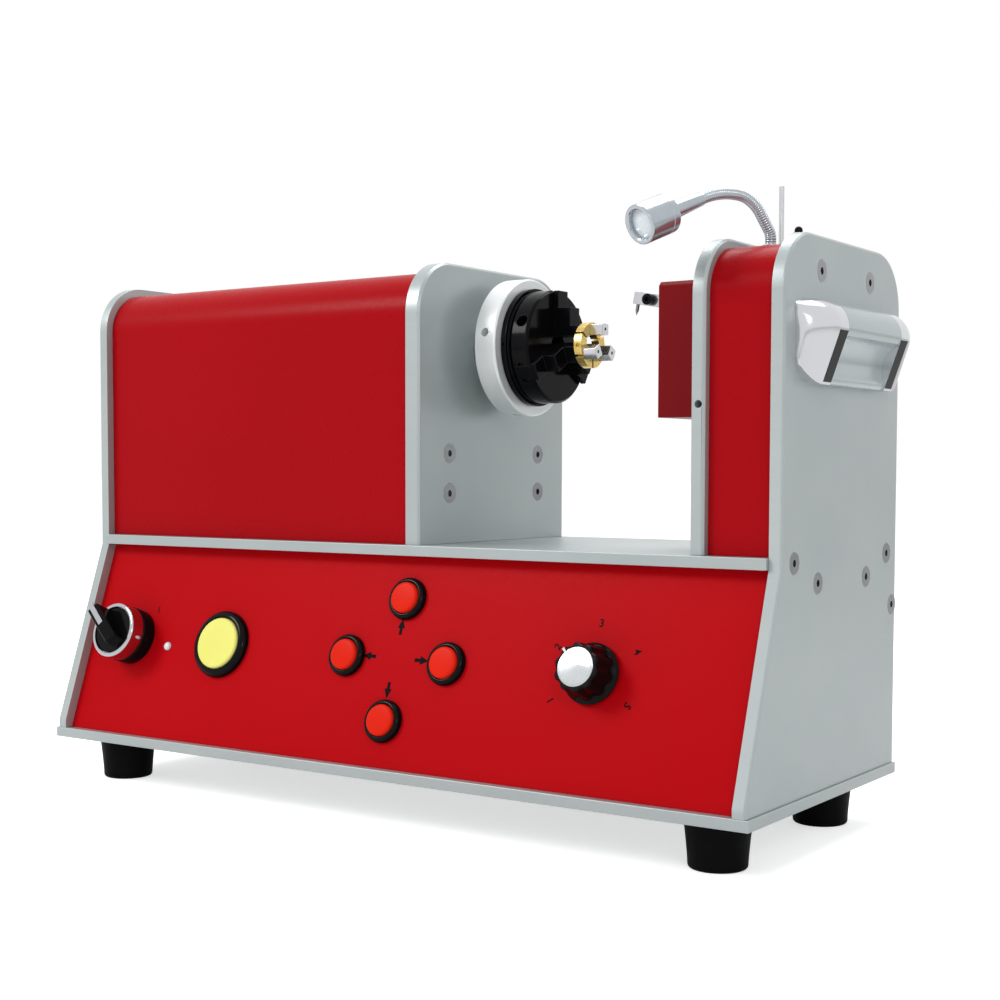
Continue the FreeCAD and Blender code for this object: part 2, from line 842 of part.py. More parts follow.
def make_spindle():
    nose_x = head_back_x
    rear_x = nose_x - housing_length
    half_foot = housing_foot_width / 2
    foot = block(rear_x, nose_x, plate_middle_y - half_foot, plate_middle_y + half_foot,
                 deck_top, deck_top + housing_foot_height)
    half_body = housing_radius
    body = block(rear_x, nose_x, plate_middle_y - half_body, plate_middle_y + half_body, deck_top, axis_z)
    barrel = Part.makeCylinder(
        housing_radius, housing_length, Vector(rear_x, plate_middle_y, axis_z), Vector(1, 0, 0),
    )
    housing = joined(foot, body, barrel)
    axis_start = Vector(rear_x, plate_middle_y, axis_z)
    along = Vector(1, 0, 0)
    bore = Part.makeCylinder(bearing_inner_radius + 3, housing_length, axis_start, along)
    pockets = []
    bearings = []
    for start in (rear_x, nose_x - bearing_width):
        place = Vector(start, plate_middle_y, axis_z)
        pocket = Part.makeCylinder(bearing_outer_radius, bearing_width, place, along)
        pockets.append(pocket)
        bearings.append(pocket.cut(Part.makeCylinder(bearing_inner_radius, bearing_width, place, along)))
    screw_holes = [
        screw_hole(Vector(head_face_x, y, z), Vector(-1, 0, 0)) for y, z in headstock_screw_places()
    ]
    export(housing.cut([bore] + pockets + screw_holes), "spindle_housing")
    export(group(bearings), "spindle_bearings")
    shaft_radius = bearing_inner_radius - running_clearance
    reach_back = flange_back_x - rear_x
    shaft = Part.makeCylinder(shaft_radius, reach_back, Vector(0, 0, -reach_back))
    tail = Part.makeCylinder(
        shaft_radius * 0.6, spindle_tail_length, Vector(0, 0, -reach_back - spindle_tail_length),
    )
    hub = Part.makeCylinder(
        bearing_outer_radius - 2, flange_gap - moving_gap, Vector(0, 0, -flange_gap + moving_gap),
    )
    edge = 0.8
    flange = turned([
        (0, 0), (flange_radius - edge, 0), (flange_radius, edge),
        (flange_radius, flange_thickness - edge), (flange_radius - edge, flange_thickness),
        (0, flange_thickness),
    ])
    spindle = joined(flange, shaft, tail, hub)
    hole_reach = 8
    rim_holes = []
    for index in range(4):
        hole = Part.makeCylinder(
            flange_hole_radius, hole_reach,
            Vector(flange_radius - hole_reach + 1, 0, flange_thickness / 2), Vector(1, 0, 0),
        )
        rim_holes.append(spun(hole, 170 + 90 * index))
    bore = Part.makeCylinder(spindle_bore_radius, reach_back + flange_thickness, Vector(0, 0, -reach_back))
    export(on_spindle(spindle.cut(rim_holes + [bore]), flange_back_x), "spindle")


def chuck_slot():
    # The T-shaped way that one jaw slides in, along local X.
    clear = jaw_slot_clearance
    reach = chuck_radius + 2
    tee_low = disc_back + jaw_tee_rise - clear
    tee_high = disc_back + jaw_tee_rise + jaw_tee_height + clear
    neck_half = jaw_neck_width / 2 + clear
    tee_half = jaw_tee_width / 2 + clear
    neck = block(0, reach, -neck_half, neck_half, disc_back - 0.1, chuck_thickness + 0.1)
    tee = block(0, reach, -tee_half, tee_half, tee_low, tee_high)
    return neck.fuse(tee)


def make_chuck():
    edge = chuck_edge_chamfer
    disc = turned([
        (0, 0), (chuck_hub_radius, 0), (chuck_hub_radius, disc_back),
        (chuck_radius, disc_back), (chuck_radius, chuck_thickness - edge),
        (chuck_radius - edge, chuck_thickness), (0, chuck_thickness),
    ])
    cuts = [Part.makeCylinder(chuck_bore_radius, chuck_thickness, Vector(0, 0, 0))]
    hole_z = (disc_back + chuck_thickness) / 2
    for name, angle in jaw_angles():
        cuts.append(spun(chuck_slot(), angle))
        hole = Part.makeCylinder(
            tommy_hole_radius, tommy_hole_depth,
            Vector(chuck_radius - tommy_hole_depth + 1, 0, hole_z), Vector(1, 0, 0),
        )
        cuts.append(spun(hole, angle + tommy_hole_deg))
    export(on_spindle(disc.cut(cuts), chuck_back_x), "chuck_body")
    rim_top = moving_gap + scroll_rim_width
    bore = chuck_hub_radius + moving_gap
    ring = turned([
        (bore, moving_gap), (scroll_rim_radius, moving_gap), (scroll_rim_radius, rim_top),
        (scroll_neck_radius, rim_top), (scroll_neck_radius, scroll_face), (bore, scroll_face),
    ])
    ring = ring.fuse(spiral_rib())
    bar_holes = []
    for index in range(scroll_hole_count):
        start = Vector(scroll_rim_radius - scroll_hole_depth, 0, moving_gap + scroll_rim_width / 2)
        hole = Part.makeCylinder(scroll_hole_radius, scroll_hole_depth + 1, start, Vector(1, 0, 0))
        bar_holes.append(spun(hole, 360 / scroll_hole_count * (index + 0.5)))
    export(on_spindle(ring.cut(bar_holes), chuck_back_x), "scroll_ring")


def jaw_teeth(angle):
    # Two arc teeth under a jaw, each midway between two turns of the scroll at that jaw's angle.
    gap_middle = (scroll_pitch + scroll_rib_width) / 2
    half = scroll_rib_width / 2
    low = scroll_face + moving_gap
    high = disc_back + 0.1
    strip = block(0, jaw_outer_radius, -jaw_neck_width / 2, jaw_neck_width / 2, low, high)
    teeth = []
    for turn in (0, 1):
        middle = scroll_inner_radius + scroll_pitch * (angle / 360 + turn) + gap_middle
        outer = Part.makeCylinder(middle + half, high - low, Vector(0, 0, low))
        inner = Part.makeCylinder(middle - half, high - low, Vector(0, 0, low))
        teeth.append(outer.cut(inner).common(strip))
    return teeth


def chuck_jaw(angle):
    # A jaw with a T-shaped foot and three steps, the innermost the highest.
    half = jaw_width / 2
    face = chuck_thickness + 0.2
    tee_low = disc_back + jaw_tee_rise
    neck = block(jaw_inner_radius, jaw_outer_radius, -jaw_neck_width / 2, jaw_neck_width / 2, disc_back, face)
    tee = block(jaw_inner_radius, jaw_outer_radius - 1, -jaw_tee_width / 2, jaw_tee_width / 2,
                tee_low, tee_low + jaw_tee_height)
    pieces = [tee]
    for radius, rise in (
        (jaw_outer_radius, jaw_low_step),
        (jaw_middle_radius, jaw_middle_step),
        (jaw_nose_radius, jaw_high_step),
    ):
        pieces.append(block(jaw_inner_radius, radius, -half, half, face, chuck_thickness + rise))
    return joined(neck, *pieces, *jaw_teeth(angle))


def brass_pad():
    # One third of a ring on the nose of a jaw, slit over its finger and with a small clamping screw.
    seat = chuck_thickness + jaw_high_step
    ring = Part.makeCylinder(pad_outer_radius, pad_thickness, Vector(0, 0, seat))
    ring = ring.cut(Part.makeCylinder(pad_inner_radius, pad_thickness, Vector(0, 0, seat)))
    corner = Vector(pad_gap / 2 / math.sin(math.radians(60)), 0, seat)
    far = 3 * pad_outer_radius
    tip_up = corner + Vector(far * math.cos(math.radians(60)), far * math.sin(math.radians(60)), 0)
    tip_down = corner + Vector(far * math.cos(math.radians(60)), -far * math.sin(math.radians(60)), 0)
    third = Part.Face(Part.makePolygon([corner, tip_up, tip_down, corner])).extrude(
        Vector(0, 0, pad_thickness),
    )
    slit = block(pad_slot_radius, far, -pad_slot_width / 2, pad_slot_width / 2, seat, seat + pad_thickness)
    screw_start = Vector(pad_outer_radius - pad_screw_depth, 0, seat + pad_thickness / 2)
    hole = Part.makeCylinder(pad_screw_radius, pad_screw_depth + 1, screw_start, Vector(1, 0, 0))
    return ring.common(third).cut([slit, spun(hole, -pad_screw_deg)])


def ring_finger():
    # The steel finger that enters the jewellery ring: a rounded block with a stem inside the pad.
    seat = chuck_thickness + jaw_high_step
    base = seat + pad_thickness
    half = finger_width / 2
    barrel = Part.makeCylinder(finger_outer_radius, finger_length, Vector(0, 0, base))
    tip = barrel.common(block(finger_inner_radius, 20, -half, half, base, base + finger_length))
    stem = Part.makeCylinder(pad_inner_radius, pad_thickness, Vector(0, 0, seat))
    stem_half = finger_stem_width / 2
    stem = stem.common(block(finger_inner_radius, 20, -stem_half, stem_half, seat, base))
    middle = (finger_inner_radius + finger_outer_radius) / 2
    hole = Part.makeCylinder(
        finger_tip_hole_radius, finger_tip_hole_depth,
        Vector(middle, 0, base + finger_length - finger_tip_hole_depth))
    return joined(tip, stem).cut(hole)


def make_jaws():
    for name, angle in jaw_angles():
        export(on_spindle(spun(chuck_jaw(angle), angle), chuck_back_x), "chuck_jaw_" + name)
        export(on_spindle(spun(brass_pad(), angle), chuck_back_x), "brass_pad_" + name)
        export(on_spindle(spun(ring_finger(), angle), chuck_back_x), "ring_finger_" + name)


def make_spindle_drive():
    rear_x = head_back_x - housing_length
    tail_end_x = rear_x - spindle_tail_length
    motor_face_x = tail_end_x - motor_face_gap
    shaft_radius = bearing_inner_radius - running_clearance
    coupling_left = motor_face_x + motor_pilot_height + 4
    coupling_right = rear_x - 2
    length = coupling_right - coupling_left
    sleeve = Part.makeCylinder(coupling_radius, length)
    sleeve = sleeve.cut(Part.makeCylinder(shaft_radius * 0.6, coupling_right - tail_end_x + 0.5,
                                          Vector(0, 0, tail_end_x - coupling_left - 0.5)))
    stub = Part.makeCylinder(motor_shaft_radius, 16, Vector(0, 0, -16 + 1))
    split = Part.makeCylinder(coupling_radius + 1, 1.2, Vector(0, 0, length * 0.45))
    split = split.cut(Part.makeCylinder(coupling_radius - 4, 1.2, Vector(0, 0, length * 0.45)))
    export(on_spindle(joined(sleeve, stub).cut(split), coupling_left), "shaft_coupling")
    half = motor_size / 2
    corner = 5.0
    square = rounded_face([
        (Vector(-half, -half, 0), corner), (Vector(half, -half, 0), corner),
        (Vector(half, half, 0), corner), (Vector(-half, half, 0), corner),
    ]).extrude(Vector(0, 0, -motor_length))
    pilot = Part.makeCylinder(motor_pilot_radius, motor_pilot_height)
    well = Part.makeCylinder(motor_shaft_radius + moving_gap, 14, Vector(0, 0, motor_pilot_height - 14))
    export(on_spindle(joined(square, pilot).cut(well), motor_face_x), "spindle_motor")
    upright = block(motor_face_x, motor_face_x + bracket_thickness,
                    plate_middle_y - half, plate_middle_y + half, deck_top, axis_z + half)
    foot = block(motor_face_x - bracket_foot_length, motor_face_x + bracket_thickness,
                 plate_middle_y - half, plate_middle_y + half, deck_top, deck_top + bracket_thickness)
    opening = Part.makeCylinder(motor_pilot_radius, bracket_thickness,
                                Vector(motor_face_x, plate_middle_y, axis_z), Vector(1, 0, 0))
    export(joined(upright, foot).cut(opening), "motor_bracket")


def make_lift():
    low_y = plate_middle_y - lift_bracket_depth / 2
    high_y = plate_middle_y + lift_bracket_depth / 2
    bracket_x = right_inner_x - lift_bracket_length
    top_z = frame_top - top_screw_drop
    upper = block(bracket_x, right_inner_x, low_y, high_y,
                  top_z - lift_bracket_height / 2, top_z + lift_bracket_height / 2)
    lower = block(bracket_x, right_inner_x, low_y, high_y, deck_bottom - lower_bracket_height, deck_bottom)
    rods = []
    rod_low = deck_bottom - lower_bracket_height + 1
    rod_high = top_z + lift_bracket_height / 2 - 1
    for side in (-1, 1):
        place = Vector(lift_x, plate_middle_y + side * rod_spread, rod_low)
        rods.append(Part.makeCylinder(rod_radius, rod_high - rod_low, place))
    holes = []
    for y, z in end_plate_screw_places():
        holes.append(screw_hole(Vector(right_outer_x, y, z), Vector(-1, 0, 0)))
    screw_end = Part.makeCylinder(lift_screw_radius + running_clearance, lift_bracket_height + 2,
                                  Vector(lift_x, plate_middle_y, top_z - lift_bracket_height / 2 - 1))
    upper = upper.cut(rods + holes + [screw_end])
    lower = lower.cut(rods + holes)
    export(group([upper, lower] + rods), "lift_guide")
    half = lift_motor_size / 2
    motor = rounded_face([
        (Vector(lift_x - half, plate_middle_y - half, deck_top), 3),
        (Vector(lift_x + half, plate_middle_y - half, deck_top), 3),
        (Vector(lift_x + half, plate_middle_y + half, deck_top), 3),
        (Vector(lift_x - half, plate_middle_y + half, deck_top), 3),
    ]).extrude(Vector(0, 0, lift_motor_height))
    screw_low = deck_top + lift_motor_height - 10
    well = Part.makeCylinder(lift_screw_radius + running_clearance, 12,
                             Vector(lift_x, plate_middle_y, screw_low - moving_gap))
    export(motor.cut(well), "lift_motor")
    screw_high = top_z + lift_bracket_height / 2 - 1
    lead = Part.makeCylinder(
        lift_screw_radius, screw_high - screw_low, Vector(lift_x, plate_middle_y, screw_low),
    )
    export(lead, "lift_screw")


def gear_face(teeth, module, thin):
    # A straight-sided involute stand-in: outline of a small spur gear, thinned for backlash.
    pitch_radius = teeth * module / 2
    outer = pitch_radius + module
    root = pitch_radius - 1.2 * module
    step = 2 * math.pi / teeth
    points = []
    for tooth in range(teeth):
        middle = tooth * step
        half_pitch = step / 4 * thin
        for radius, half in ((root, half_pitch * 1.5), (outer, half_pitch * 0.5)):
            points.append((radius, middle - half))
        for radius, half in ((outer, half_pitch * 0.5), (root, half_pitch * 1.5)):
            points.append((radius, middle + half))
    corners = [Vector(radius * math.cos(angle), radius * math.sin(angle), 0) for radius, angle in points]
    return Part.Face(Part.makePolygon(corners + [corners[0]]))


def make_head():
    half_width = head_width / 2
    low_y = plate_middle_y - half_width
    high_y = plate_middle_y + half_width
    wall = head_cover_wall
    shell = block(head_left_x, head_right_x, low_y, high_y, head_bottom, head_top)
    top_edges = []
    for edge in shell.Edges:
        box = edge.BoundBox
        on_top = box.ZMin > head_top - 0.01
        if on_top and box.YMax - box.YMin < 0.01:
            top_edges.append(edge)
    shell = shell.makeChamfer(head_edge_chamfer, top_edges)
    core_half = half_width - wall - 0.1
    hollow = block(head_left_x + wall, head_right_x + 1, low_y + wall, high_y - wall,
                   head_bottom + wall, head_top - wall - head_edge_chamfer / 2)
    window_half = head_window_width / 2
    window = block(head_left_x - 1, head_left_x + wall + 1,
                   plate_middle_y - window_half, plate_middle_y + window_half,
                   head_top - head_window_drop - head_window_height, head_top - head_window_drop)
    export(shell.cut([hollow, window]), "head_cover")
    ram_half = ram_size / 2
    clear = ram_slide_clearance
    core_left = head_left_x + wall + 3
    core = block(core_left, head_right_x, plate_middle_y - core_half, plate_middle_y + core_half,
                 head_bottom + wall + 0.1, head_top - wall - head_edge_chamfer / 2 - 0.1)
    neck_bottom = ram_bottom - moving_gap - neck_height
    neck = block(head_right_x, lift_x - rod_radius,
                 plate_middle_y - neck_width / 2, plate_middle_y + neck_width / 2,
                 neck_bottom, ram_bottom - moving_gap)
    carriage_bottom = axis_z - carriage_drop
    carriage_left = tail_face_x + 2
    carriage_right = right_inner_x - 3.5
    carriage = block(carriage_left, carriage_right,
                     plate_middle_y - carriage_depth / 2, plate_middle_y + carriage_depth / 2,
                     carriage_bottom, carriage_bottom + carriage_height)
    body = joined(core, neck, carriage)
    bores = []
    for side in (-1, 0, 1):
        radius = lift_screw_radius if side == 0 else rod_radius
        place = Vector(lift_x, plate_middle_y + side * rod_spread, carriage_bottom - 1)
        bores.append(Part.makeCylinder(radius + running_clearance, carriage_height + 2, place))
    channel_low_y = plate_middle_y - ram_half - clear
    channel_high_y = plate_middle_y + ram_half + clear
    channel = block(core_left - 1, head_right_x + 1, channel_low_y, channel_high_y,
                    ram_bottom - clear, ram_top + clear)
    arm_room = block(core_left - 1, pivot_x + 10, channel_low_y, channel_high_y,
                     ram_bottom - clear, head_top)
    pinion_x = (core_left + head_right_x) / 2
    pitch_radius = pinion_teeth * pinion_module / 2
    pinion_z = ram_bottom + 1.2 * pinion_module - pitch_radius
    pinion_low_y = plate_middle_y - pinion_width / 2
    pinion_room = Part.makeCylinder(pitch_radius + pinion_module + 0.6, pinion_width + 1,
                                    Vector(pinion_x, pinion_low_y - 0.5, pinion_z), Vector(0, 1, 0))
    motor_low_y = plate_middle_y + ram_half + moving_gap
    motor_room = Part.makeCylinder(feed_motor_radius, plate_middle_y + core_half - motor_low_y + 1,
                                   Vector(pinion_x, motor_low_y, pinion_z), Vector(0, 1, 0))
    shaft_room = Part.makeCylinder(feed_shaft_radius + moving_gap, motor_low_y - plate_middle_y,
                                   Vector(pinion_x, plate_middle_y, pinion_z), Vector(0, 1, 0))
    body = body.cut(bores + [channel, arm_room, pinion_room, motor_room, shaft_room])
    rod_x = tail_face_x + height_rod_offset
    rod_seat = carriage_bottom + carriage_height - 6
    rod_socket = Part.makeCylinder(height_rod_radius, 7, Vector(rod_x, plate_middle_y, rod_seat))
    export(body.cut(rod_socket), "lift_carriage")
    height_rod = Part.makeCylinder(height_rod_radius, cover_top + height_rod_top - rod_seat,
                                   Vector(rod_x, plate_middle_y, rod_seat))
    export(height_rod, "height_rod")
    motor_length_y = plate_middle_y + core_half - motor_low_y
    motor = Part.makeCylinder(
        feed_motor_radius, motor_length_y, Vector(pinion_x, motor_low_y, pinion_z), Vector(0, 1, 0),
    )
    motor_well = Part.makeCylinder(
        feed_shaft_radius + running_clearance, 8, Vector(pinion_x, motor_low_y - 1, pinion_z),
        Vector(0, 1, 0),
    )
    export(motor.cut(motor_well), "feed_motor")
    gear = gear_face(pinion_teeth, pinion_module, 0.8).extrude(Vector(0, 0, pinion_width))
    shaft = Part.makeCylinder(feed_shaft_radius, pinion_width + 6)
    pinion = joined(gear, shaft)
    # Local X turns to the row's +Z so that a tooth points at the rack.
    pinion.Placement = FreeCAD.Placement(FreeCAD.Matrix(
        0, 1, 0, pinion_x,
        0, 0, 1, pinion_low_y,
        1, 0, 0, pinion_z,
        0, 0, 0, 1,
    ))
    export(pinion, "feed_pinion")
    make_ram(pinion_x)
    make_tool()


def make_ram(pinion_x):
    # The feed ram: a square bar with a rack below and a tongue for the arm's pivot.
    half = ram_size / 2
    bar = block(ram_front_x, ram_back_x, plate_middle_y - half, plate_middle_y + half, ram_bottom, ram_top)
    pitch = math.pi * pinion_module
    rack_half = pinion_width / 2 + 0.2
    deep = 2.7 * pinion_module
    trough = block(ram_front_x, ram_back_x, plate_middle_y - rack_half, plate_middle_y + rack_half,
                   ram_bottom - 1, ram_bottom + deep)
    bar = bar.cut(trough)
    first = math.ceil((ram_front_x + pitch - pinion_x) / pitch - 0.5)
    last = math.floor((ram_back_x - pitch - pinion_x) / pitch - 0.5)
    teeth = []
    for index in range(first, last + 1):
        middle = pinion_x + (index + 0.5) * pitch
        base_half = pitch / 4 * 0.8 * 1.5
        tip_half = pitch / 4 * 0.8 * 0.5
        corners = [
            Vector(middle - base_half, plate_middle_y - rack_half, ram_bottom + deep),
            Vector(middle - tip_half, plate_middle_y - rack_half, ram_bottom + 0.2 * pinion_module),
            Vector(middle + tip_half, plate_middle_y - rack_half, ram_bottom + 0.2 * pinion_module),
            Vector(middle + base_half, plate_middle_y - rack_half, ram_bottom + deep),
        ]
        tooth = Part.Face(Part.makePolygon(corners + [corners[0]])).extrude(Vector(0, 2 * rack_half, 0))
        teeth.append(tooth)
    tongue_half = arm_tongue_width / 2
    tongue = Part.makeCylinder(
        3.6, arm_tongue_width, Vector(pivot_x, plate_middle_y - tongue_half, pivot_z), Vector(0, 1, 0),
    )
    stem = block(pivot_x - 3.6, pivot_x + 6, plate_middle_y - tongue_half, plate_middle_y + tongue_half,
                 ram_bottom + deep, pivot_z)
    ram = joined(bar, tongue, stem, *teeth)
    room = block(ram_front_x - 1, pivot_x + 5, plate_middle_y - half - 1, plate_middle_y - tongue_half,
                 ram_bottom + 3.4, ram_top + 1)
    other_room = block(ram_front_x - 1, pivot_x + 5, plate_middle_y + tongue_half, plate_middle_y + half + 1,
                       ram_bottom + 3.4, ram_top + 1)
    pin_hole = Part.makeCylinder(arm_pivot_radius + running_clearance, ram_size + 2,
                                 Vector(pivot_x, plate_middle_y - half - 1, pivot_z), Vector(0, 1, 0))
    export(ram.cut([room, other_room, pin_hole]), "feed_ram")


def make_tool():
    # The hinged arm, built level with its pivot at the origin and then tilted up.
    half = arm_width / 2
    rise = arm_height / 2
    eye = Part.makeCylinder(rise, arm_width, Vector(0, -half, 0), Vector(0, 1, 0))
    bar = joined(block(-arm_reach, 0, -half, half, -rise, rise), eye)
    slot_half = arm_tongue_width / 2 + arm_tongue_gap
    slot = block(-7, 8, -slot_half, slot_half, -10, 10)
    pin = Part.makeCylinder(arm_pivot_radius, arm_width, Vector(0, -half, 0), Vector(0, 1, 0))
    bit_x = -arm_reach + bit_setback
    bit_hole = Part.makeCylinder(bit_radius, arm_height + 2, Vector(bit_x, 0, -rise - 1))
    screw_x = -arm_reach + clamp_screw_setback
    thread_hole = Part.makeCylinder(1.3, half + 1, Vector(screw_x, -half - 1, 0), Vector(0, 1, 0))
    kerf = block(-arm_reach - 1, screw_x + 2.5, -0.3, 0.3, -10, 10)
    arm = joined(bar.cut([slot, bit_hole, thread_hole, kerf]), pin)
    bit = turned(
        [(0, -rise - bit_drop + 3), (bit_radius, -rise - bit_drop + 5.4), (bit_radius, rise), (0, rise)],
    )
    bit.translate(Vector(bit_x, 0, 0))
    head = Part.makeCylinder(
        clamp_screw_radius, clamp_screw_height, Vector(screw_x, -half - clamp_screw_height, 0),
        Vector(0, 1, 0),
    )
    hex_cut = Part.makeCylinder(1.25, 1.6, Vector(screw_x, -half - clamp_screw_height, 0), Vector(0, 1, 0))
    thread = Part.makeCylinder(1.25, half - 0.5, Vector(screw_x, -half, 0), Vector(0, 1, 0))
    knob = joined(head, thread).cut(hex_cut)
    for shape, node in ((arm, "tool_arm"), (bit, "tool_bit"), (knob, "tool_clamp_screw")):
        shape.rotate(Vector(0, 0, 0), Vector(0, 1, 0), arm_tilt_deg)
        shape.translate(Vector(pivot_x, plate_middle_y, pivot_z))
        export(shape, node)


def make_selector():
    top = selector_ring_height
    radius = selector_radius
    body = turned([
        (0, -contact_block_depth / 2), (panel_thread_radius, -contact_block_depth / 2),
        (panel_thread_radius, 0), (radius, 0), (radius, selector_collar_height - 0.6),
        (radius - 0.7, selector_collar_height), (radius - 0.2, selector_collar_height + 0.8),
        (radius - 0.2, top - 1.2), (radius - 1.3, top), (radius - 2.3, top),
        (radius - 2.3, top - 3), (0, top - 3),
    ])
    hole_length = selector_shaft_length + moving_gap
    shaft_hole = Part.makeCylinder(
        selector_shaft_radius + running_clearance, hole_length,
        Vector(0, 0, top - 3 - hole_length + button_gap))
    half = contact_block_size / 2
    contacts = block(-half, half, -half, half, -panel_thickness - contact_block_depth, -panel_thickness)
    export(on_panel(joined(body, contacts).cut(shaft_hole), selector_x, control_row), "selector_body")
    dial = radius - 2.3 - button_gap
    face = top - 3 + button_gap
    disc = Part.makeCylinder(dial, 2.4, Vector(0, 0, face))
    shaft = Part.makeCylinder(
        selector_shaft_radius, selector_shaft_length, Vector(0, 0, face - selector_shaft_length))
    lever_half = selector_lever_width / 2
    lever = Part.Face(Part.makePolygon([
        Vector(-dial + 1.5, -lever_half, top - 1), Vector(dial + 1.2, -lever_half, top - 1),
        Vector(dial + 2.6, -lever_half, selector_lever_height - 1.5),
        Vector(dial + 1.4, -lever_half, selector_lever_height),
        Vector(-dial + 5, -lever_half, selector_lever_height - 3.5),
        Vector(-dial + 1.5, -lever_half, top - 1),
    ])).extrude(Vector(0, selector_lever_width, 0))
    lever = lever.common(Part.makeCylinder(dial + 2.6, 40).fuse(block(0, 30, -lever_half, lever_half, 0, 40)))
    ring_room = Part.makeCylinder(2 * radius, top + button_gap).cut(Part.makeCylinder(dial, top + button_gap))
    lever = lever.cut(ring_room)
    export(
        on_panel(spun(joined(disc, shaft, lever), selector_rest_deg), selector_x, control_row),
        "selector_knob",
    )


def button_body(bezel_radius, cap_radius, height, depth):
    inner = cap_radius + button_gap
    thread = inner + 0.8
    return turned([
        (0, -depth), (thread, -depth), (thread, 0), (bezel_radius, 0), (bezel_radius, height * 0.3),
        (bezel_radius - (bezel_radius - inner) * 0.35, height * 0.82), (inner + 0.8, height),
        (inner, height - 0.4), (inner, -depth + 4), (0, -depth + 4),
    ])


def button_cap(radius, height, depth, stroke):
    bottom = -depth + 4 + stroke + button_gap
    return turned([
        (0, bottom), (radius, bottom), (radius, height - 1.4), (radius - 0.5, height - 0.55),
        (radius - 1.5, height - 0.15), (0, height),
    ])


def make_buttons():
    bodies = []
    start = button_body(start_bezel_radius, start_cap_radius, start_bezel_height, start_body_depth)
    bodies.append(on_panel(start, start_x, control_row))
    cap = button_cap(start_cap_radius, start_cap_height, start_body_depth, start_stroke)
    export(on_panel(cap, start_x, control_row), "start_button")
    for name, along, up in arrow_button_places():
        body = button_body(arrow_bezel_radius, arrow_cap_radius, arrow_bezel_height, arrow_body_depth)
        bodies.append(on_panel(body, along, up))
        cap = button_cap(arrow_cap_radius, arrow_cap_height, arrow_body_depth, arrow_stroke)
        export(on_panel(cap, along, up), name)
    export(group(bodies), "button_bodies")
    light = turned([(0, -9), (light_radius, -9), (light_radius, 0), (light_radius + 0.6, 0),
                    (light_radius + 0.6, 0.7), (light_radius - 0.3, 1.4), (0, 1.8)])
    export(on_panel(light, light_x, light_row), "power_light")


def make_pressure_knob():
    bore = pot_shaft_radius + running_clearance
    pot = turned([
        (bore, -panel_thickness - 6), (0, -panel_thickness - 6), (0, -panel_thickness - pot_depth),
        (pot_radius, -panel_thickness - pot_depth), (pot_radius, -panel_thickness),
        (pot_bushing_radius, -panel_thickness), (pot_bushing_radius, 1.2), (bore, 1.2),
    ])
    export(on_panel(pot, knob_x, knob_row), "pressure_pot")
    low = moving_gap + 1.2
    shaft_low = -panel_thickness - 6 + moving_gap
    skirt = turned([
        (0, low), (knob_skirt_radius, low), (knob_skirt_radius, low + 0.9),
        (knob_body_radius + 0.6, knob_skirt_height + 0.6), (knob_body_radius, knob_skirt_height + 0.6),
        (knob_top_radius, knob_height - 0.9), (knob_top_radius - 0.8, knob_height - 0.3),
        (knob_cap_radius, knob_height - 0.3), (knob_cap_radius, knob_height),
        (knob_cap_radius - 0.5, knob_height + 0.2), (0, knob_height + 0.2),
    ])
    flutes = []
    for index in range(knob_flute_count):
        flute = Part.makeCylinder(
            knob_flute_radius, knob_height,
            Vector(knob_body_radius + knob_flute_radius * 0.52, 0, knob_skirt_height + 0.8),
            Vector(-0.08, 0, 1),
        )
        flutes.append(spun(flute, knob_pointer_deg + 360 / knob_flute_count * (index + 0.5)))
    pointer = block(knob_cap_radius + 0.2, knob_body_radius, -0.6, 0.6, knob_skirt_height, knob_height - 0.1)
    shaft = Part.makeCylinder(pot_shaft_radius, low - shaft_low + 1, Vector(0, 0, shaft_low))
    knob = joined(skirt.cut(flutes), spun(pointer, knob_pointer_deg), shaft)
    export(on_panel(knob, knob_x, knob_row), "pressure_knob")


def lamp_direction():
    heading = math.radians(lamp_heading_deg)
    return Vector(-math.sin(heading), -math.cos(heading), 0)


def lamp_point(forward, height):
    return Vector(lamp_root_x, lamp_root_y, 0) + lamp_direction() * forward + Vector(0, 0, height)


def neck_route():
    # Stretches of the gooseneck from its root: length, heading at its start and end in degrees.
    def bend(radius, start, end):
        return radius * math.radians(start - end), start, end

    return [
        (neck_straight, 90, 90),
        bend(neck_root_bend, 90, neck_rise_deg),
        (neck_rise_length, neck_rise_deg, neck_rise_deg),
        bend(neck_shoulder_bend, neck_rise_deg, neck_crest_deg),
        bend(neck_crest_bend, neck_crest_deg, -neck_dip_deg),
        (neck_dip_length, -neck_dip_deg, -neck_dip_deg),
    ]


def neck_station(distance):
    # Centre point and direction of the gooseneck at a distance along it.
    forward = 0.0
    height = cover_top + lamp_base_thickness
    heading = math.radians(90)
    left = distance
    for length, start, end in neck_route():
        step = min(left, length)
        first = math.radians(start)
        turn = math.radians(start - end)
        if turn:
            radius = length / turn
            heading = first - step / radius
            forward += radius * (math.sin(first) - math.sin(heading))
            height += radius * (math.cos(heading) - math.cos(first))
        else:
            heading = first
            forward += step * math.cos(first)
            height += step * math.sin(first)
        left -= step
        if left <= 0:
            break
    direction = lamp_direction() * math.cos(heading) + Vector(0, 0, math.sin(heading))
    return lamp_point(forward, height), direction


def neck_circle(distance, radius):
    centre, direction = neck_station(distance)
    side = Vector(0, 0, 1).cross(lamp_direction())
    circle = Part.Circle(centre, direction, radius)
    circle.XAxis = side
    return Part.Wire(circle.toShape())


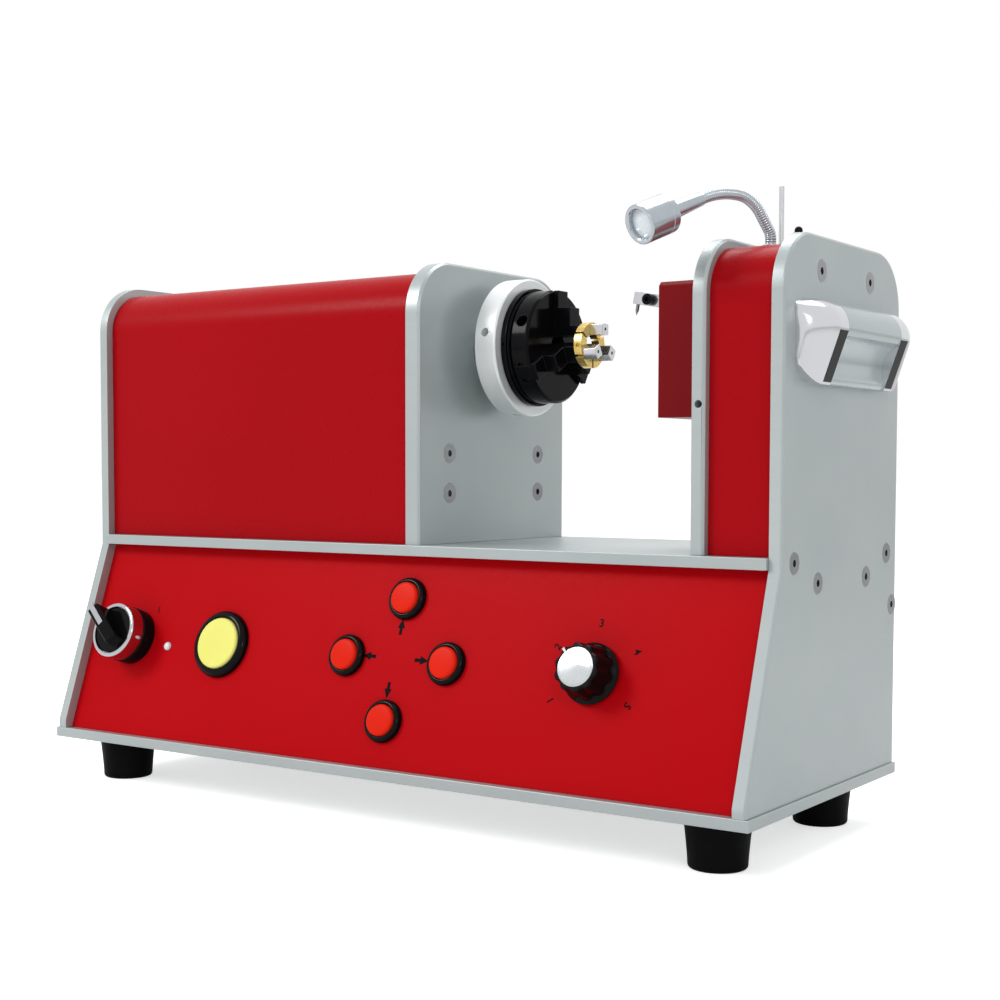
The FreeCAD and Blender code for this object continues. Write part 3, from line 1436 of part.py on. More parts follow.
def make_lamp():
    top = cover_top
    root = Vector(lamp_root_x, lamp_root_y, top)
    button = Vector(lamp_button_x, lamp_button_y, top)
    pad = Part.makeCylinder(lamp_base_radius, lamp_base_thickness, root)
    button_pad = Part.makeCylinder(lamp_base_radius, lamp_base_thickness, button)
    across = (button - root).normalize()
    side = Vector(-across.y, across.x, 0) * lamp_base_radius
    bridge = Part.Face(
        Part.makePolygon([root + side, root - side, button - side, button + side, root + side]),
    )
    bridge = bridge.extrude(Vector(0, 0, lamp_base_thickness))
    collar = Part.makeCylinder(lamp_collar_radius, lamp_base_thickness + lamp_collar_height, root)
    bushing_length = lamp_bushing_height + lamp_bushing_depth
    bushing = Part.makeCylinder(
        lamp_bushing_radius, bushing_length, button - Vector(0, 0, lamp_bushing_depth),
    )
    socket = Part.makeCylinder(
        neck_tube_radius + running_clearance, 20, root + Vector(0, 0, lamp_base_thickness),
    )
    plunger_hole = Part.makeCylinder(
        lamp_button_radius + 0.1, 40, button - Vector(0, 0, lamp_bushing_depth + 1),
    )
    lead_hole = Part.makeCylinder(neck_bore_radius, 10, root - Vector(0, 0, 1))
    base = joined(pad, button_pad, bridge, collar, bushing)
    export(base.cut([socket, plunger_hole, lead_hole]), "lamp_base")
    stem_length = lamp_button_height - lamp_button_radius + lamp_bushing_depth
    stem = Part.makeCylinder(lamp_button_radius, stem_length, button - Vector(0, 0, lamp_bushing_depth))
    dome = Part.makeSphere(lamp_button_radius, button + Vector(0, 0, lamp_button_height - lamp_button_radius))
    export(joined(stem, dome), "lamp_button")
    total = sum(length for length, start, end in neck_route())
    rib_count = int((total - neck_straight) / neck_rib_pitch)
    margin = (total - rib_count * neck_rib_pitch) / 2
    low = neck_tube_radius - neck_rib_depth
    circles = [neck_circle(0, low)]
    for index in range(rib_count):
        begin = margin + index * neck_rib_pitch
        for share, radius in ((0.05, low), (0.3, neck_tube_radius), (0.7, neck_tube_radius), (0.95, low)):
            circles.append(neck_circle(begin + share * neck_rib_pitch, radius))
    circles.append(neck_circle(total, low))
    hose = Part.makeLoft(circles, True, True)
    bore_steps = 16
    bore = Part.makeLoft(
        [neck_circle(total * index / bore_steps, neck_bore_radius) for index in range(bore_steps + 1)],
        True, True,
    )
    export(hose.cut(bore), "lamp_neck")
    end_point, end_direction = neck_station(total)
    side_axis = Vector(0, 0, 1).cross(lamp_direction())
    other = end_direction.cross(side_axis)
    half = lamp_head_length
    sleeve = lamp_sleeve_length
    profile = [
        (0, 0), (lamp_sleeve_radius, 0), (lamp_head_radius - 0.9, 0.2), (lamp_head_radius, 1.1),
        (lamp_head_radius, half - 0.6), (lamp_head_radius - 0.5, half), (lamp_lens_radius + 0.5, half),
        (lamp_lens_radius, half - 0.6), (lamp_lens_radius - 1.6, half - lamp_lens_recess - 1.2),
        (0, half - lamp_lens_recess),
    ]
    head = turned(profile)
    taper = turned([
        (neck_tube_radius, -sleeve), (neck_tube_radius + 0.3, -sleeve), (lamp_sleeve_radius, 0),
        (neck_tube_radius, 0),
    ])
    head = joined(head, taper)
    head.Placement = FreeCAD.Placement(FreeCAD.Matrix(
        side_axis.x, other.x, end_direction.x, end_point.x,
        side_axis.y, other.y, end_direction.y, end_point.y,
        side_axis.z, other.z, end_direction.z, end_point.z,
        0, 0, 0, 1,
    ))
    export(head, "lamp_head")


def make_drive_unit():
    # Power supply and motor driver on one tray inside the base.
    half = unit_length / 2
    y0 = rear_y - 10 - unit_depth
    tray = block(-half, half, y0, y0 + unit_depth, base_top, base_top + 2)
    supply = block(-half, -10, y0 + 4, y0 + unit_depth - 4, base_top, base_top + unit_height)
    sink = block(10, half, y0 + 4, y0 + unit_depth - 4, base_top, base_top + 8)
    fins = []
    spread = (unit_depth - 8 - fin_thickness) / (fin_count - 1)
    for index in range(fin_count):
        y = y0 + 4 + index * spread
        fins.append(block(14, half - 4, y, y + fin_thickness, base_top + 7, base_top + 8 + fin_height))
    export(joined(tray, supply, sink, *fins), "drive_unit")


os.makedirs("parts", exist_ok=True)
make_frame()
make_upper_plates()
make_covers()
make_panels()
make_handles()
make_spindle()
make_chuck()
make_jaws()
make_spindle_drive()
make_lift()
make_head()
make_selector()
make_buttons()
make_pressure_knob()
make_lamp()
make_drive_unit()
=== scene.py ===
import json
import math

import bmesh
import bpy
from mathutils import Matrix, Vector

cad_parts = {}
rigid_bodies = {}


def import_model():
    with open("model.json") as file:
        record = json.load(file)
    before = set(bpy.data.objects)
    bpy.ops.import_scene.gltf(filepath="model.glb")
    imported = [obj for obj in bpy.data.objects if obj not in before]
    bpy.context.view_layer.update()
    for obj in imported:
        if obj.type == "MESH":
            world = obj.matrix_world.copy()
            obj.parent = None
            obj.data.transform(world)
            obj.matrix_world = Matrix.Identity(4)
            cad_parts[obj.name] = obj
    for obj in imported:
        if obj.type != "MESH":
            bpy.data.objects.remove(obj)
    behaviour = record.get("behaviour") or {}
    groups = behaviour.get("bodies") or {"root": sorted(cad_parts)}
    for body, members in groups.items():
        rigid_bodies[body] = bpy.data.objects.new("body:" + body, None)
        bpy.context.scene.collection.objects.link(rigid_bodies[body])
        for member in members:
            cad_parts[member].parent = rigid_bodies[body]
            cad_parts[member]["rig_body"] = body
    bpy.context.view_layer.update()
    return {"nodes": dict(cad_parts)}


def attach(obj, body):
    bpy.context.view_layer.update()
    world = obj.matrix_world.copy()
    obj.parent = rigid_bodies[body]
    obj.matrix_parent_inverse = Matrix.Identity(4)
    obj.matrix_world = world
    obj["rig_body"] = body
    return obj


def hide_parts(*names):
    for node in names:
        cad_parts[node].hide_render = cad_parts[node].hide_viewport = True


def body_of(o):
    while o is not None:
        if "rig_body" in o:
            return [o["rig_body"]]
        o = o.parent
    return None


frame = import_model()
cadNodes = frame["nodes"]
mm = 0.001
print("frame loaded")


# Small tools that the pieces below share

def paint(red, green, blue):
    # A colour as a paint program shows it, made linear for the shader.
    linear = []
    for value in (red, green, blue):
        share = value / 255
        linear.append(share / 12.92 if share <= 0.04045 else ((share + 0.055) / 1.055) ** 2.4)
    return (*linear, 1)


def letGo():
    if bpy.context.mode != "OBJECT":
        bpy.ops.object.mode_set(mode="OBJECT")
    bpy.ops.object.select_all(action="DESELECT")


def pick(piece):
    letGo()
    piece.select_set(True)
    bpy.context.view_layer.objects.active = piece


def applied(piece, kind, **settings):
    # Adds a modifier with these settings and applies it.
    pick(piece)
    modifier = piece.modifiers.new(kind.title(), kind)
    for name, value in settings.items():
        setattr(modifier, name, value)
    bpy.ops.object.modifier_apply(modifier=modifier.name)


def settle(piece, place):
    # Puts a piece where it belongs and leaves its object at the origin.
    pick(piece)
    piece.matrix_world = place
    bpy.ops.object.transform_apply(location=True, rotation=True, scale=True)


def worn(piece, material, body, slotName, *replaced):
    # Gives a finished piece its material, its body and the nodes that it stands for.
    piece.data.materials.clear()
    piece.data.materials.append(material)
    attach(piece, body)
    if replaced:
        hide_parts(*replaced)
    return piece


def softEdges(piece, width, sharpDeg=32, segments=3):
    # Rounds the sharp edges a little, then lets the flat faces lead the shading.
    applied(piece, "BEVEL", width=width * mm, segments=segments, limit_method="ANGLE",
            angle_limit=math.radians(sharpDeg), use_clamp_overlap=False)
    pick(piece)
    bpy.ops.object.shade_smooth_by_angle(angle=math.radians(50))
    applied(piece, "WEIGHTED_NORMAL", keep_sharp=True)


def turnedPiece(name, rings, segments=96, edge=0.0, hollow=False):
    # Builds a turned piece up ring by ring, from (radius, height) pairs in millimetres.
    letGo()
    bpy.ops.mesh.primitive_circle_add(vertices=segments, radius=rings[0][0] * mm,
                                      location=(0, 0, rings[0][1] * mm))
    piece = bpy.context.object
    piece.name = name
    bpy.ops.object.transform_apply(location=True, rotation=True, scale=True)
    bpy.ops.object.mode_set(mode="EDIT")
    bpy.ops.mesh.select_mode(type="EDGE")
    bpy.ops.mesh.select_all(action="SELECT")
    radius, height = rings[0]
    for nextRadius, nextHeight in rings[1:]:
        rise = (nextHeight - height) * mm
        bpy.ops.mesh.extrude_region_move(TRANSFORM_OT_translate={"value": (0, 0, rise)})
        share = nextRadius / radius
        bpy.ops.transform.resize(value=(share, share, 1), center_override=(0, 0, nextHeight * mm))
        radius, height = nextRadius, nextHeight
    bpy.ops.mesh.select_all(action="SELECT")
    if hollow:
        bpy.ops.mesh.select_all(action="DESELECT")
        bpy.ops.mesh.select_non_manifold()
        bpy.ops.mesh.bridge_edge_loops()
    else:
        bpy.ops.mesh.fill_holes(sides=0)
    bpy.ops.mesh.select_all(action="SELECT")
    bpy.ops.mesh.remove_doubles(threshold=0.000001)
    bpy.ops.mesh.normals_make_consistent(inside=False)
    bpy.ops.object.mode_set(mode="OBJECT")
    if edge:
        softEdges(piece, edge)
    else:
        bpy.ops.object.shade_smooth_by_angle(angle=math.radians(32))
    return piece


def finished(piece, place, finish, body, slotName, *replaced):
    settle(piece, place)
    worn(piece, materials[finish], body, slotName, *replaced)


def block(name, size, shift=(0, 0, 0)):
    # A block of this size in millimetres, with its middle moved by the shift.
    letGo()
    bpy.ops.mesh.primitive_cube_add(size=mm)
    piece = bpy.context.object
    piece.name = name
    bpy.ops.object.mode_set(mode="EDIT")
    bpy.ops.transform.resize(value=size)
    bpy.ops.transform.translate(value=Vector(shift) * mm)
    bpy.ops.object.mode_set(mode="OBJECT")
    return piece


def roundedRings(middle, level, out, up, steps, startDeg=0, first=1, least=0.02):
    # Rings of a rounded edge: a quarter turn about (middle, level), from startDeg on.
    angles = [math.radians(startDeg + 90 * step / steps) for step in range(first, steps + 1)]
    return [(max(least, middle + out * math.cos(angle)), level + up * math.sin(angle)) for angle in angles]


def copied(piece, name):
    twin = piece.copy()
    twin.data = piece.data.copy()
    twin.name = name
    bpy.context.collection.objects.link(twin)
    return twin


# Where the sloping panel lies, taken from the frame

panelFace = {"slopeDeg": 71.283, "footY": -73.264, "footZ": 29.396}


def onPanel(along, up, turnDeg=0.0, out=0.0):
    slope = math.radians(panelFace["slopeDeg"])
    upWay = Vector((0, math.cos(slope), math.sin(slope)))
    outWay = Vector((0, -math.sin(slope), math.cos(slope)))
    foot = Vector((0, panelFace["footY"], panelFace["footZ"]))
    point = (foot + Vector((along, 0, 0)) + upWay * up + outWay * out) * mm
    axes = Matrix((Vector((1, 0, 0)), upWay, outWay)).transposed().to_4x4()
    return Matrix.Translation(point) @ axes @ Matrix.Rotation(math.radians(turnDeg), 4, "Z")


# Finishes

# Each finish's edge colour is partly edge wear and partly painted highlight on the edges.
finishes = {
    "brushed_aluminium": {
        "colour": (180, 187, 187), "shade": (160, 169, 170), "edge": (240, 243, 243), "metal": 0.45,
        "rough": (0.32, 0.42), "grain": 900, "stretch": (0.05, 1, 1), "bump": 0.04, "depth": 0.02,
        "blotch": 14, "edgeWearAndHighlight": 0.6,
    },
    "red_sheet": {
        "colour": (186, 8, 18), "shade": (176, 6, 15), "edge": (206, 60, 62),
        "rough": (0.32, 0.40), "grain": 420, "bump": 0.02, "depth": 0.02,
        "blotch": 9, "edgeWearAndHighlight": 0.2, "specular": 0.03,
    },
    # Darker copies of the red sheet paint: their lower brightness is painted shade for the covers and the
    # head cover.
    "cover_red_painted_shade": {
        "colour": (168, 9, 19), "shade": (158, 7, 16), "edge": (190, 52, 56),
        "rough": (0.26, 0.34), "grain": 420, "bump": 0.02, "depth": 0.02,
        "blotch": 9, "edgeWearAndHighlight": 0.2, "specular": 0.05,
    },
    "head_red_painted_shade": {
        "colour": (126, 10, 18), "shade": (114, 8, 15), "edge": (178, 48, 52),
        "rough": (0.28, 0.36), "grain": 420, "bump": 0.02, "depth": 0.02,
        "blotch": 9, "edgeWearAndHighlight": 0.5, "specular": 0.1,
    },
    "foot_rubber": {
        "colour": (8, 8, 10), "shade": (12, 12, 14), "edge": (34, 34, 36),
        "rough": (0.42, 0.55), "grain": 1500, "bump": 0.08, "depth": 0.03,
        "blotch": 40, "edgeWearAndHighlight": 0.3, "specular": 0.05,
    },
    "screw_steel": {
        "colour": (150, 152, 154), "shade": (122, 124, 127), "edge": (226, 227, 228), "metal": 0.95,
        "rough": (0.16, 0.26), "grain": 900, "stretch": (1, 1, 0.2), "bump": 0.06, "depth": 0.02,
        "blotch": 90, "edgeWearAndHighlight": 0.6,
    },
    "handle_grip": {
        "colour": (178, 188, 190), "shade": (164, 175, 178), "edge": (242, 242, 243), "metal": 0.6,
        "rough": (0.20, 0.26), "grain": 500, "stretch": (1, 0.08, 1), "bump": 0.02, "depth": 0.01,
        "blotch": 20, "edgeWearAndHighlight": 0.3,
    },
    "handle_cap": {
        "colour": (216, 217, 220), "shade": (198, 199, 203), "edge": (240, 240, 242), "metal": 0.92,
        "rough": (0.10, 0.18), "grain": 500, "bump": 0.03, "depth": 0.02,
        "blotch": 30, "edgeWearAndHighlight": 0.3,
    },
    "turned_aluminium": {
        "colour": (236, 239, 239), "shade": (226, 230, 230), "edge": (250, 250, 250), "metal": 0.35,
        "rough": (0.30, 0.34), "grain": 2400, "bump": 0.0, "depth": 0.01,
        "blotch": 60, "edgeWearAndHighlight": 0.4,
    },
    "black_steel": {
        "colour": (8, 8, 10), "shade": (13, 14, 16), "edge": (96, 99, 104),
        "rough": (0.12, 0.18), "grain": 900, "bump": 0.03, "depth": 0.01,
        "blotch": 60, "edgeWearAndHighlight": 0.5, "specular": 0.07,
    },
    "pad_brass": {
        "colour": (226, 200, 122), "shade": (196, 162, 86), "edge": (250, 236, 180), "metal": 0.9,
        "rough": (0.18, 0.30), "grain": 1200, "stretch": (0.1, 1, 1), "bump": 0.03, "depth": 0.02,
        "blotch": 80, "edgeWearAndHighlight": 0.5,
    },
    "bright_steel": {
        "colour": (212, 213, 216), "shade": (190, 191, 195), "edge": (242, 242, 244), "metal": 0.92,
        "rough": (0.12, 0.22), "grain": 1300, "stretch": (0.1, 1, 1), "bump": 0.05, "depth": 0.02,
        "blotch": 80, "edgeWearAndHighlight": 0.4,
    },
    "housing_iron": {
        "colour": (104, 106, 110), "shade": (84, 86, 90), "edge": (158, 160, 164), "metal": 0.3,
        "rough": (0.45, 0.65), "grain": 500, "bump": 0.35, "depth": 0.15,
        "blotch": 20, "edgeWearAndHighlight": 0.5,
    },
    "motor_black": {
        "colour": (34, 35, 38), "shade": (26, 27, 29), "edge": (96, 97, 100), "metal": 0.1,
        "rough": (0.36, 0.5), "grain": 800, "bump": 0.2, "depth": 0.08,
        "blotch": 30, "edgeWearAndHighlight": 0.5, "specular": 0.2,
    },
    "machined_aluminium": {
        "colour": (182, 184, 188), "shade": (160, 162, 167), "edge": (224, 225, 228), "metal": 0.85,
        "rough": (0.26, 0.40), "grain": 1100, "stretch": (0.08, 1, 1), "bump": 0.08, "depth": 0.03,
        "blotch": 30, "edgeWearAndHighlight": 0.5,
    },
    "bit_steel": {
        "colour": (150, 152, 156), "shade": (120, 122, 127), "edge": (220, 221, 224), "metal": 0.95,
        "rough": (0.14, 0.24), "grain": 1500, "stretch": (1, 1, 0.2), "bump": 0.04, "depth": 0.01,
        "blotch": 90, "edgeWearAndHighlight": 0.5,
    },
    "selector_chrome": {
        "colour": (196, 197, 201), "shade": (180, 181, 186), "edge": (236, 236, 238), "metal": 1.0,
        "rough": (0.05, 0.10), "grain": 600, "bump": 0.02, "depth": 0.01,
        "blotch": 50, "edgeWearAndHighlight": 0.3,
    },
    "black_gloss": {
        "colour": (8, 8, 9), "shade": (12, 12, 14), "edge": (48, 49, 52),
        "rough": (0.10, 0.16), "grain": 700, "bump": 0.02, "depth": 0.01,
        "blotch": 60, "edgeWearAndHighlight": 0.2, "specular": 0.09,
    },
    "knob_black": {
        "colour": (9, 9, 10), "shade": (14, 14, 15), "edge": (56, 57, 60),
        "rough": (0.14, 0.22), "grain": 700, "bump": 0.03, "depth": 0.01,
        "blotch": 60, "edgeWearAndHighlight": 0.3, "specular": 0.09,
    },
    "knob_disc": {
        "colour": (206, 209, 210), "shade": (180, 183, 185), "edge": (240, 240, 242), "metal": 0.95,
        "rough": (0.24, 0.34), "grain": 1800, "bump": 0.05, "depth": 0.01,
        "blotch": 70, "edgeWearAndHighlight": 0.3, "anisotropic": 0.8,
    },
    "start_yellow": {
        "colour": (240, 239, 132), "shade": (232, 230, 116), "edge": (250, 249, 190),
        "rough": (0.34, 0.42), "grain": 800, "bump": 0.02, "depth": 0.01,
        "blotch": 60, "edgeWearAndHighlight": 0.2, "specular": 0.12,
    },
    "arrow_red": {
        "colour": (228, 42, 22), "shade": (216, 34, 18), "edge": (246, 96, 70),
        "rough": (0.26, 0.34), "grain": 800, "bump": 0.02, "depth": 0.01,
        "blotch": 60, "edgeWearAndHighlight": 0.2, "specular": 0.04,
    },
    "lens_clear": {
        "colour": (226, 234, 238), "shade": (206, 216, 222), "edge": (250, 252, 253),
        "rough": (0.05, 0.10), "grain": 500, "bump": 0.03, "depth": 0.02,
        "blotch": 90, "edgeWearAndHighlight": 0.2, "coat": 0.8, "coatRough": 0.04,
    },
    "pot_steel": {
        "colour": (164, 165, 168), "shade": (140, 141, 145), "edge": (214, 214, 217), "metal": 0.9,
        "rough": (0.28, 0.40), "grain": 900, "bump": 0.08, "depth": 0.03,
        "blotch": 60, "edgeWearAndHighlight": 0.4,
    },
    "lamp_chrome": {
        "colour": (186, 193, 198), "shade": (168, 176, 182), "edge": (246, 247, 249), "metal": 0.8,
        "rough": (0.16, 0.22), "grain": 700, "bump": 0.02, "depth": 0.01,
        "blotch": 60, "edgeWearAndHighlight": 0.3,
    },
    "inlet_plastic": {
        "colour": (22, 22, 24), "shade": (30, 30, 32), "edge": (70, 70, 73),
        "rough": (0.36, 0.50), "grain": 900, "bump": 0.2, "depth": 0.05,
        "blotch": 60, "edgeWearAndHighlight": 0.3, "specular": 0.15,
    },
    "unit_aluminium": {
        "colour": (158, 160, 163), "shade": (138, 140, 144), "edge": (204, 205, 208), "metal": 0.8,
        "rough": (0.38, 0.52), "grain": 700, "stretch": (0.1, 1, 1), "bump": 0.1, "depth": 0.04,
        "blotch": 30, "edgeWearAndHighlight": 0.4,
    },
    "print_black": {
        "colour": (20, 10, 12), "shade": (28, 14, 16), "edge": (40, 30, 32),
        "rough": (0.36, 0.50), "grain": 1500, "bump": 0.05, "depth": 0.01,
        "blotch": 200, "edgeWearAndHighlight": 0.1, "specular": 0.03,
    },
    "print_white": {
        "colour": (232, 232, 230), "shade": (218, 218, 216), "edge": (240, 240, 240),
        "rough": (0.36, 0.50), "grain": 1500, "bump": 0.05, "depth": 0.01,
        "blotch": 200, "edgeWearAndHighlight": 0.1, "specular": 0.1,
    },
}


def makeFinish(name):
    # One shader: two near shades in broad patches, fine grain in gloss and relief, paler edges that are
    # partly edge wear and partly painted edge highlight.
    look = finishes[name]
    material = bpy.data.materials.new(name)
    material.use_nodes = True
    tree = material.node_tree
    shader = tree.nodes["Principled BSDF"]
    shader.inputs["Metallic"].default_value = look.get("metal", 0)
    shader.inputs["Specular IOR Level"].default_value = look.get("specular", 0.5)
    shader.inputs["Coat Weight"].default_value = look.get("coat", 0)
    shader.inputs["Coat Roughness"].default_value = look.get("coatRough", 0.1)
    shader.inputs["Anisotropic"].default_value = look.get("anisotropic", 0)

    where = tree.nodes.new("ShaderNodeTexCoord")
    turn = tree.nodes.new("ShaderNodeMapping")
    turn.inputs["Scale"].default_value = look.get("stretch", (1, 1, 1))
    tree.links.new(where.outputs["Object"], turn.inputs["Vector"])

    grain = tree.nodes.new("ShaderNodeTexNoise")
    grain.inputs["Scale"].default_value = look["grain"]
    grain.inputs["Detail"].default_value = 4
    tree.links.new(turn.outputs["Vector"], grain.inputs["Vector"])

    patches = tree.nodes.new("ShaderNodeTexNoise")
    patches.inputs["Scale"].default_value = look["blotch"]
    patches.inputs["Detail"].default_value = 3
    tree.links.new(where.outputs["Object"], patches.inputs["Vector"])

    tone = tree.nodes.new("ShaderNodeMix")
    tone.data_type = "RGBA"
    tone.inputs["A"].default_value = paint(*look["colour"])
    tone.inputs["B"].default_value = paint(*look["shade"])
    tree.links.new(patches.outputs["Fac"], tone.inputs["Factor"])

    # Paler edges, partly wear and partly painted highlight on the edges: where the rounded normal leaves the
    # true one, an edge is near.
    rounded = tree.nodes.new("ShaderNodeBevel")
    rounded.samples = 4
    rounded.inputs["Radius"].default_value = 0.0006
    facing = tree.nodes.new("ShaderNodeNewGeometry")
    agree = tree.nodes.new("ShaderNodeVectorMath")
    agree.operation = "DOT_PRODUCT"
    tree.links.new(rounded.outputs["Normal"], agree.inputs[0])
    tree.links.new(facing.outputs["Normal"], agree.inputs[1])
    rim = tree.nodes.new("ShaderNodeMapRange")
    rim.inputs["From Min"].default_value = 0.995
    rim.inputs["From Max"].default_value = 0.80
    rim.inputs["To Max"].default_value = look["edgeWearAndHighlight"]
    tree.links.new(agree.outputs["Value"], rim.inputs["Value"])
    paleEdgeWearAndHighlight = tree.nodes.new("ShaderNodeMath")
    paleEdgeWearAndHighlight.operation = "MULTIPLY"
    tree.links.new(rim.outputs["Result"], paleEdgeWearAndHighlight.inputs[0])
    tree.links.new(patches.outputs["Fac"], paleEdgeWearAndHighlight.inputs[1])

    edged = tree.nodes.new("ShaderNodeMix")
    edged.data_type = "RGBA"
    edged.inputs["B"].default_value = paint(*look["edge"])
    tree.links.new(tone.outputs["Result"], edged.inputs["A"])
    tree.links.new(paleEdgeWearAndHighlight.outputs["Value"], edged.inputs["Factor"])
    tree.links.new(edged.outputs["Result"], shader.inputs["Base Color"])

    gloss = tree.nodes.new("ShaderNodeMapRange")
    gloss.inputs["From Min"].default_value = 0.3
    gloss.inputs["From Max"].default_value = 0.7
    gloss.inputs["To Min"].default_value = look["rough"][0]
    gloss.inputs["To Max"].default_value = look["rough"][1]
    tree.links.new(grain.outputs["Fac"], gloss.inputs["Value"])
    tree.links.new(gloss.outputs["Result"], shader.inputs["Roughness"])

    relief = tree.nodes.new("ShaderNodeBump")
    relief.inputs["Strength"].default_value = look["bump"]
    relief.inputs["Distance"].default_value = look["depth"] * mm
    tree.links.new(grain.outputs["Fac"], relief.inputs["Height"])
    tree.links.new(relief.outputs["Normal"], shader.inputs["Normal"])
    return material


materials = {name: makeFinish(name) for name in finishes}
print("finishes made:", len(materials))


# Plates, covers and machined pieces: the solids' own shapes with their edges eased

easedEdges = {
    "base_plate": 0.4, "left_end_plate": 0.25, "right_end_plate": 0.25, "deck_plate": 0.35,
    "headstock_plate": 0.25, "tailstock_plate": 0.25, "headstock_cover": 0.35, "tailstock_cover": 0.35,
    "control_panel": 0.3, "rear_panel": 0.25,
    "spindle_housing": 0.6, "spindle_motor": 0.3, "motor_bracket": 0.3, "lift_guide": 0.2,
    "lift_motor": 0.3, "spindle": 0.25, "chuck_body": 0.2, "shaft_coupling": 0.2, "scroll_ring": 0.12,
    "chuck_jaw_top": 0.2, "chuck_jaw_front": 0.2, "chuck_jaw_rear": 0.2, "brass_pad_top": 0.12,
    "brass_pad_front": 0.12, "brass_pad_rear": 0.12, "ring_finger_top": 0.15, "ring_finger_front": 0.15,
    "ring_finger_rear": 0.15, "lift_screw": 0.1, "lift_carriage": 0.25, "head_cover": 0.25,
    "feed_motor": 0.2, "height_rod": 0.1, "feed_pinion": 0.05, "feed_ram": 0.15, "tool_arm": 0.2,
    "tool_bit": 0.05, "tool_clamp_screw": 0.1, "pressure_pot": 0.1, "lamp_base": 0.1,
    "power_inlet": 0.4, "drive_unit": 0.2, "spindle_bearings": 0.2, "frame_screws": 0.1,
}
# The covers and the head cover take the darker copies of the red sheet paint, which carry painted shade.
ownFinish = {"headstock_cover": "cover_red_painted_shade", "tailstock_cover": "cover_red_painted_shade", "head_cover": "head_red_painted_shade"}


def bodyOf(node):
    return body_of(cadNodes[node])[0]


def slotOf(node):
    return cadNodes[node].data.materials[0].name.split(".")[0]


def makeEased(node, width):
    # A copy of the node with its flat faces made whole and its edges rounded by the width.
    letGo()
    eased = bpy.data.objects.new(node + "_finished", cadNodes[node].data.copy())
    bpy.context.collection.objects.link(eased)
    slotName = slotOf(node)
    pick(eased)
    bpy.ops.object.mode_set(mode="EDIT")
    bpy.ops.mesh.select_all(action="SELECT")
    bpy.ops.mesh.remove_doubles(threshold=0.000002)
    bpy.ops.mesh.dissolve_limited(angle_limit=math.radians(0.8))
    bpy.ops.object.mode_set(mode="OBJECT")
    softEdges(eased, width)
    worn(eased, materials[ownFinish.get(node, slotName)], bodyOf(node), slotName, node)


for node, width in easedEdges.items():
    makeEased(node, width)
print("plates, covers and machined pieces eased:", len(easedEdges))


# Carrying handles: a hollowed grip between two rounded caps, on both end plates

handle = {"face": 198.8, "middle": 15.5, "top": 233.0, "height": 35.0, "projection": 13.5, "lipDrop": 12.5,
          "lipThickness": 2.4, "footProjection": 5.5, "recessDepth": 8.5, "gripLength": 59.5,
          "cheekWidth": 6.5, "capWidth": 16.5, "capSteps": 14, "stripOverlap": 1.4}


def arcThrough(first, middle, last, steps):
    # Points of the arc from first to last that passes through middle.
    ax, az = first
    bx, bz = middle
    cx, cz = last
    turn = 2 * (ax * (bz - cz) + bx * (cz - az) + cx * (az - bz))
    a, b, c = ax * ax + az * az, bx * bx + bz * bz, cx * cx + cz * cz
    ux = (a * (bz - cz) + b * (cz - az) + c * (az - bz)) / turn
    uz = (a * (cx - bx) + b * (ax - cx) + c * (bx - ax)) / turn
    radius = math.hypot(ax - ux, az - uz)
    start, end = math.atan2(az - uz, ax - ux), math.atan2(cz - uz, cx - ux)
    if end - start > math.pi:
        end -= 2 * math.pi
    if start - end > math.pi:
        end += 2 * math.pi
    return [(ux + radius * math.cos(start + (end - start) * step / steps),
             uz + radius * math.sin(start + (end - start) * step / steps)) for step in range(steps + 1)]


def straight(first, last, steps):
    return [(first[0] + (last[0] - first[0]) * step / steps,
             first[1] + (last[1] - first[1]) * step / steps) for step in range(1, steps + 1)]


def loftedPiece(name, sections, sharpDeg=40):
    # Draws one outline on from section to section; each section is a list of (x, y, z) in millimetres.
    letGo()
    bpy.ops.mesh.primitive_circle_add(vertices=len(sections[0]), radius=mm)
    piece = bpy.context.object
    piece.name = name
    bpy.ops.object.mode_set(mode="EDIT")
    bpy.ops.mesh.select_all(action="SELECT")
    net = bmesh.from_edit_mesh(piece.data)
    net.verts.ensure_lookup_table()
    ring = list(net.verts)
    for vertex, point in zip(ring, sections[0]):
        vertex.co = Vector(point) * mm
    for section in sections[1:]:
        order = {tuple(round(value, 7) for value in vertex.co): index for index, vertex in enumerate(ring)}
        bmesh.update_edit_mesh(piece.data)
        bpy.ops.mesh.extrude_region_move()
        net = bmesh.from_edit_mesh(piece.data)
        drawn = [vertex for vertex in net.verts if vertex.select]
        ring = [None] * len(drawn)
        for vertex in drawn:
            ring[order[tuple(round(value, 7) for value in vertex.co)]] = vertex
        for vertex, point in zip(ring, section):
            vertex.co = Vector(point) * mm
    bmesh.update_edit_mesh(piece.data)
    bpy.ops.mesh.select_all(action="SELECT")
    bpy.ops.mesh.fill_holes(sides=0)
    bpy.ops.mesh.select_all(action="SELECT")
    bpy.ops.mesh.normals_make_consistent(inside=False)
    bpy.ops.object.mode_set(mode="OBJECT")
    bpy.ops.object.shade_smooth_by_angle(angle=math.radians(sharpDeg))
    return piece


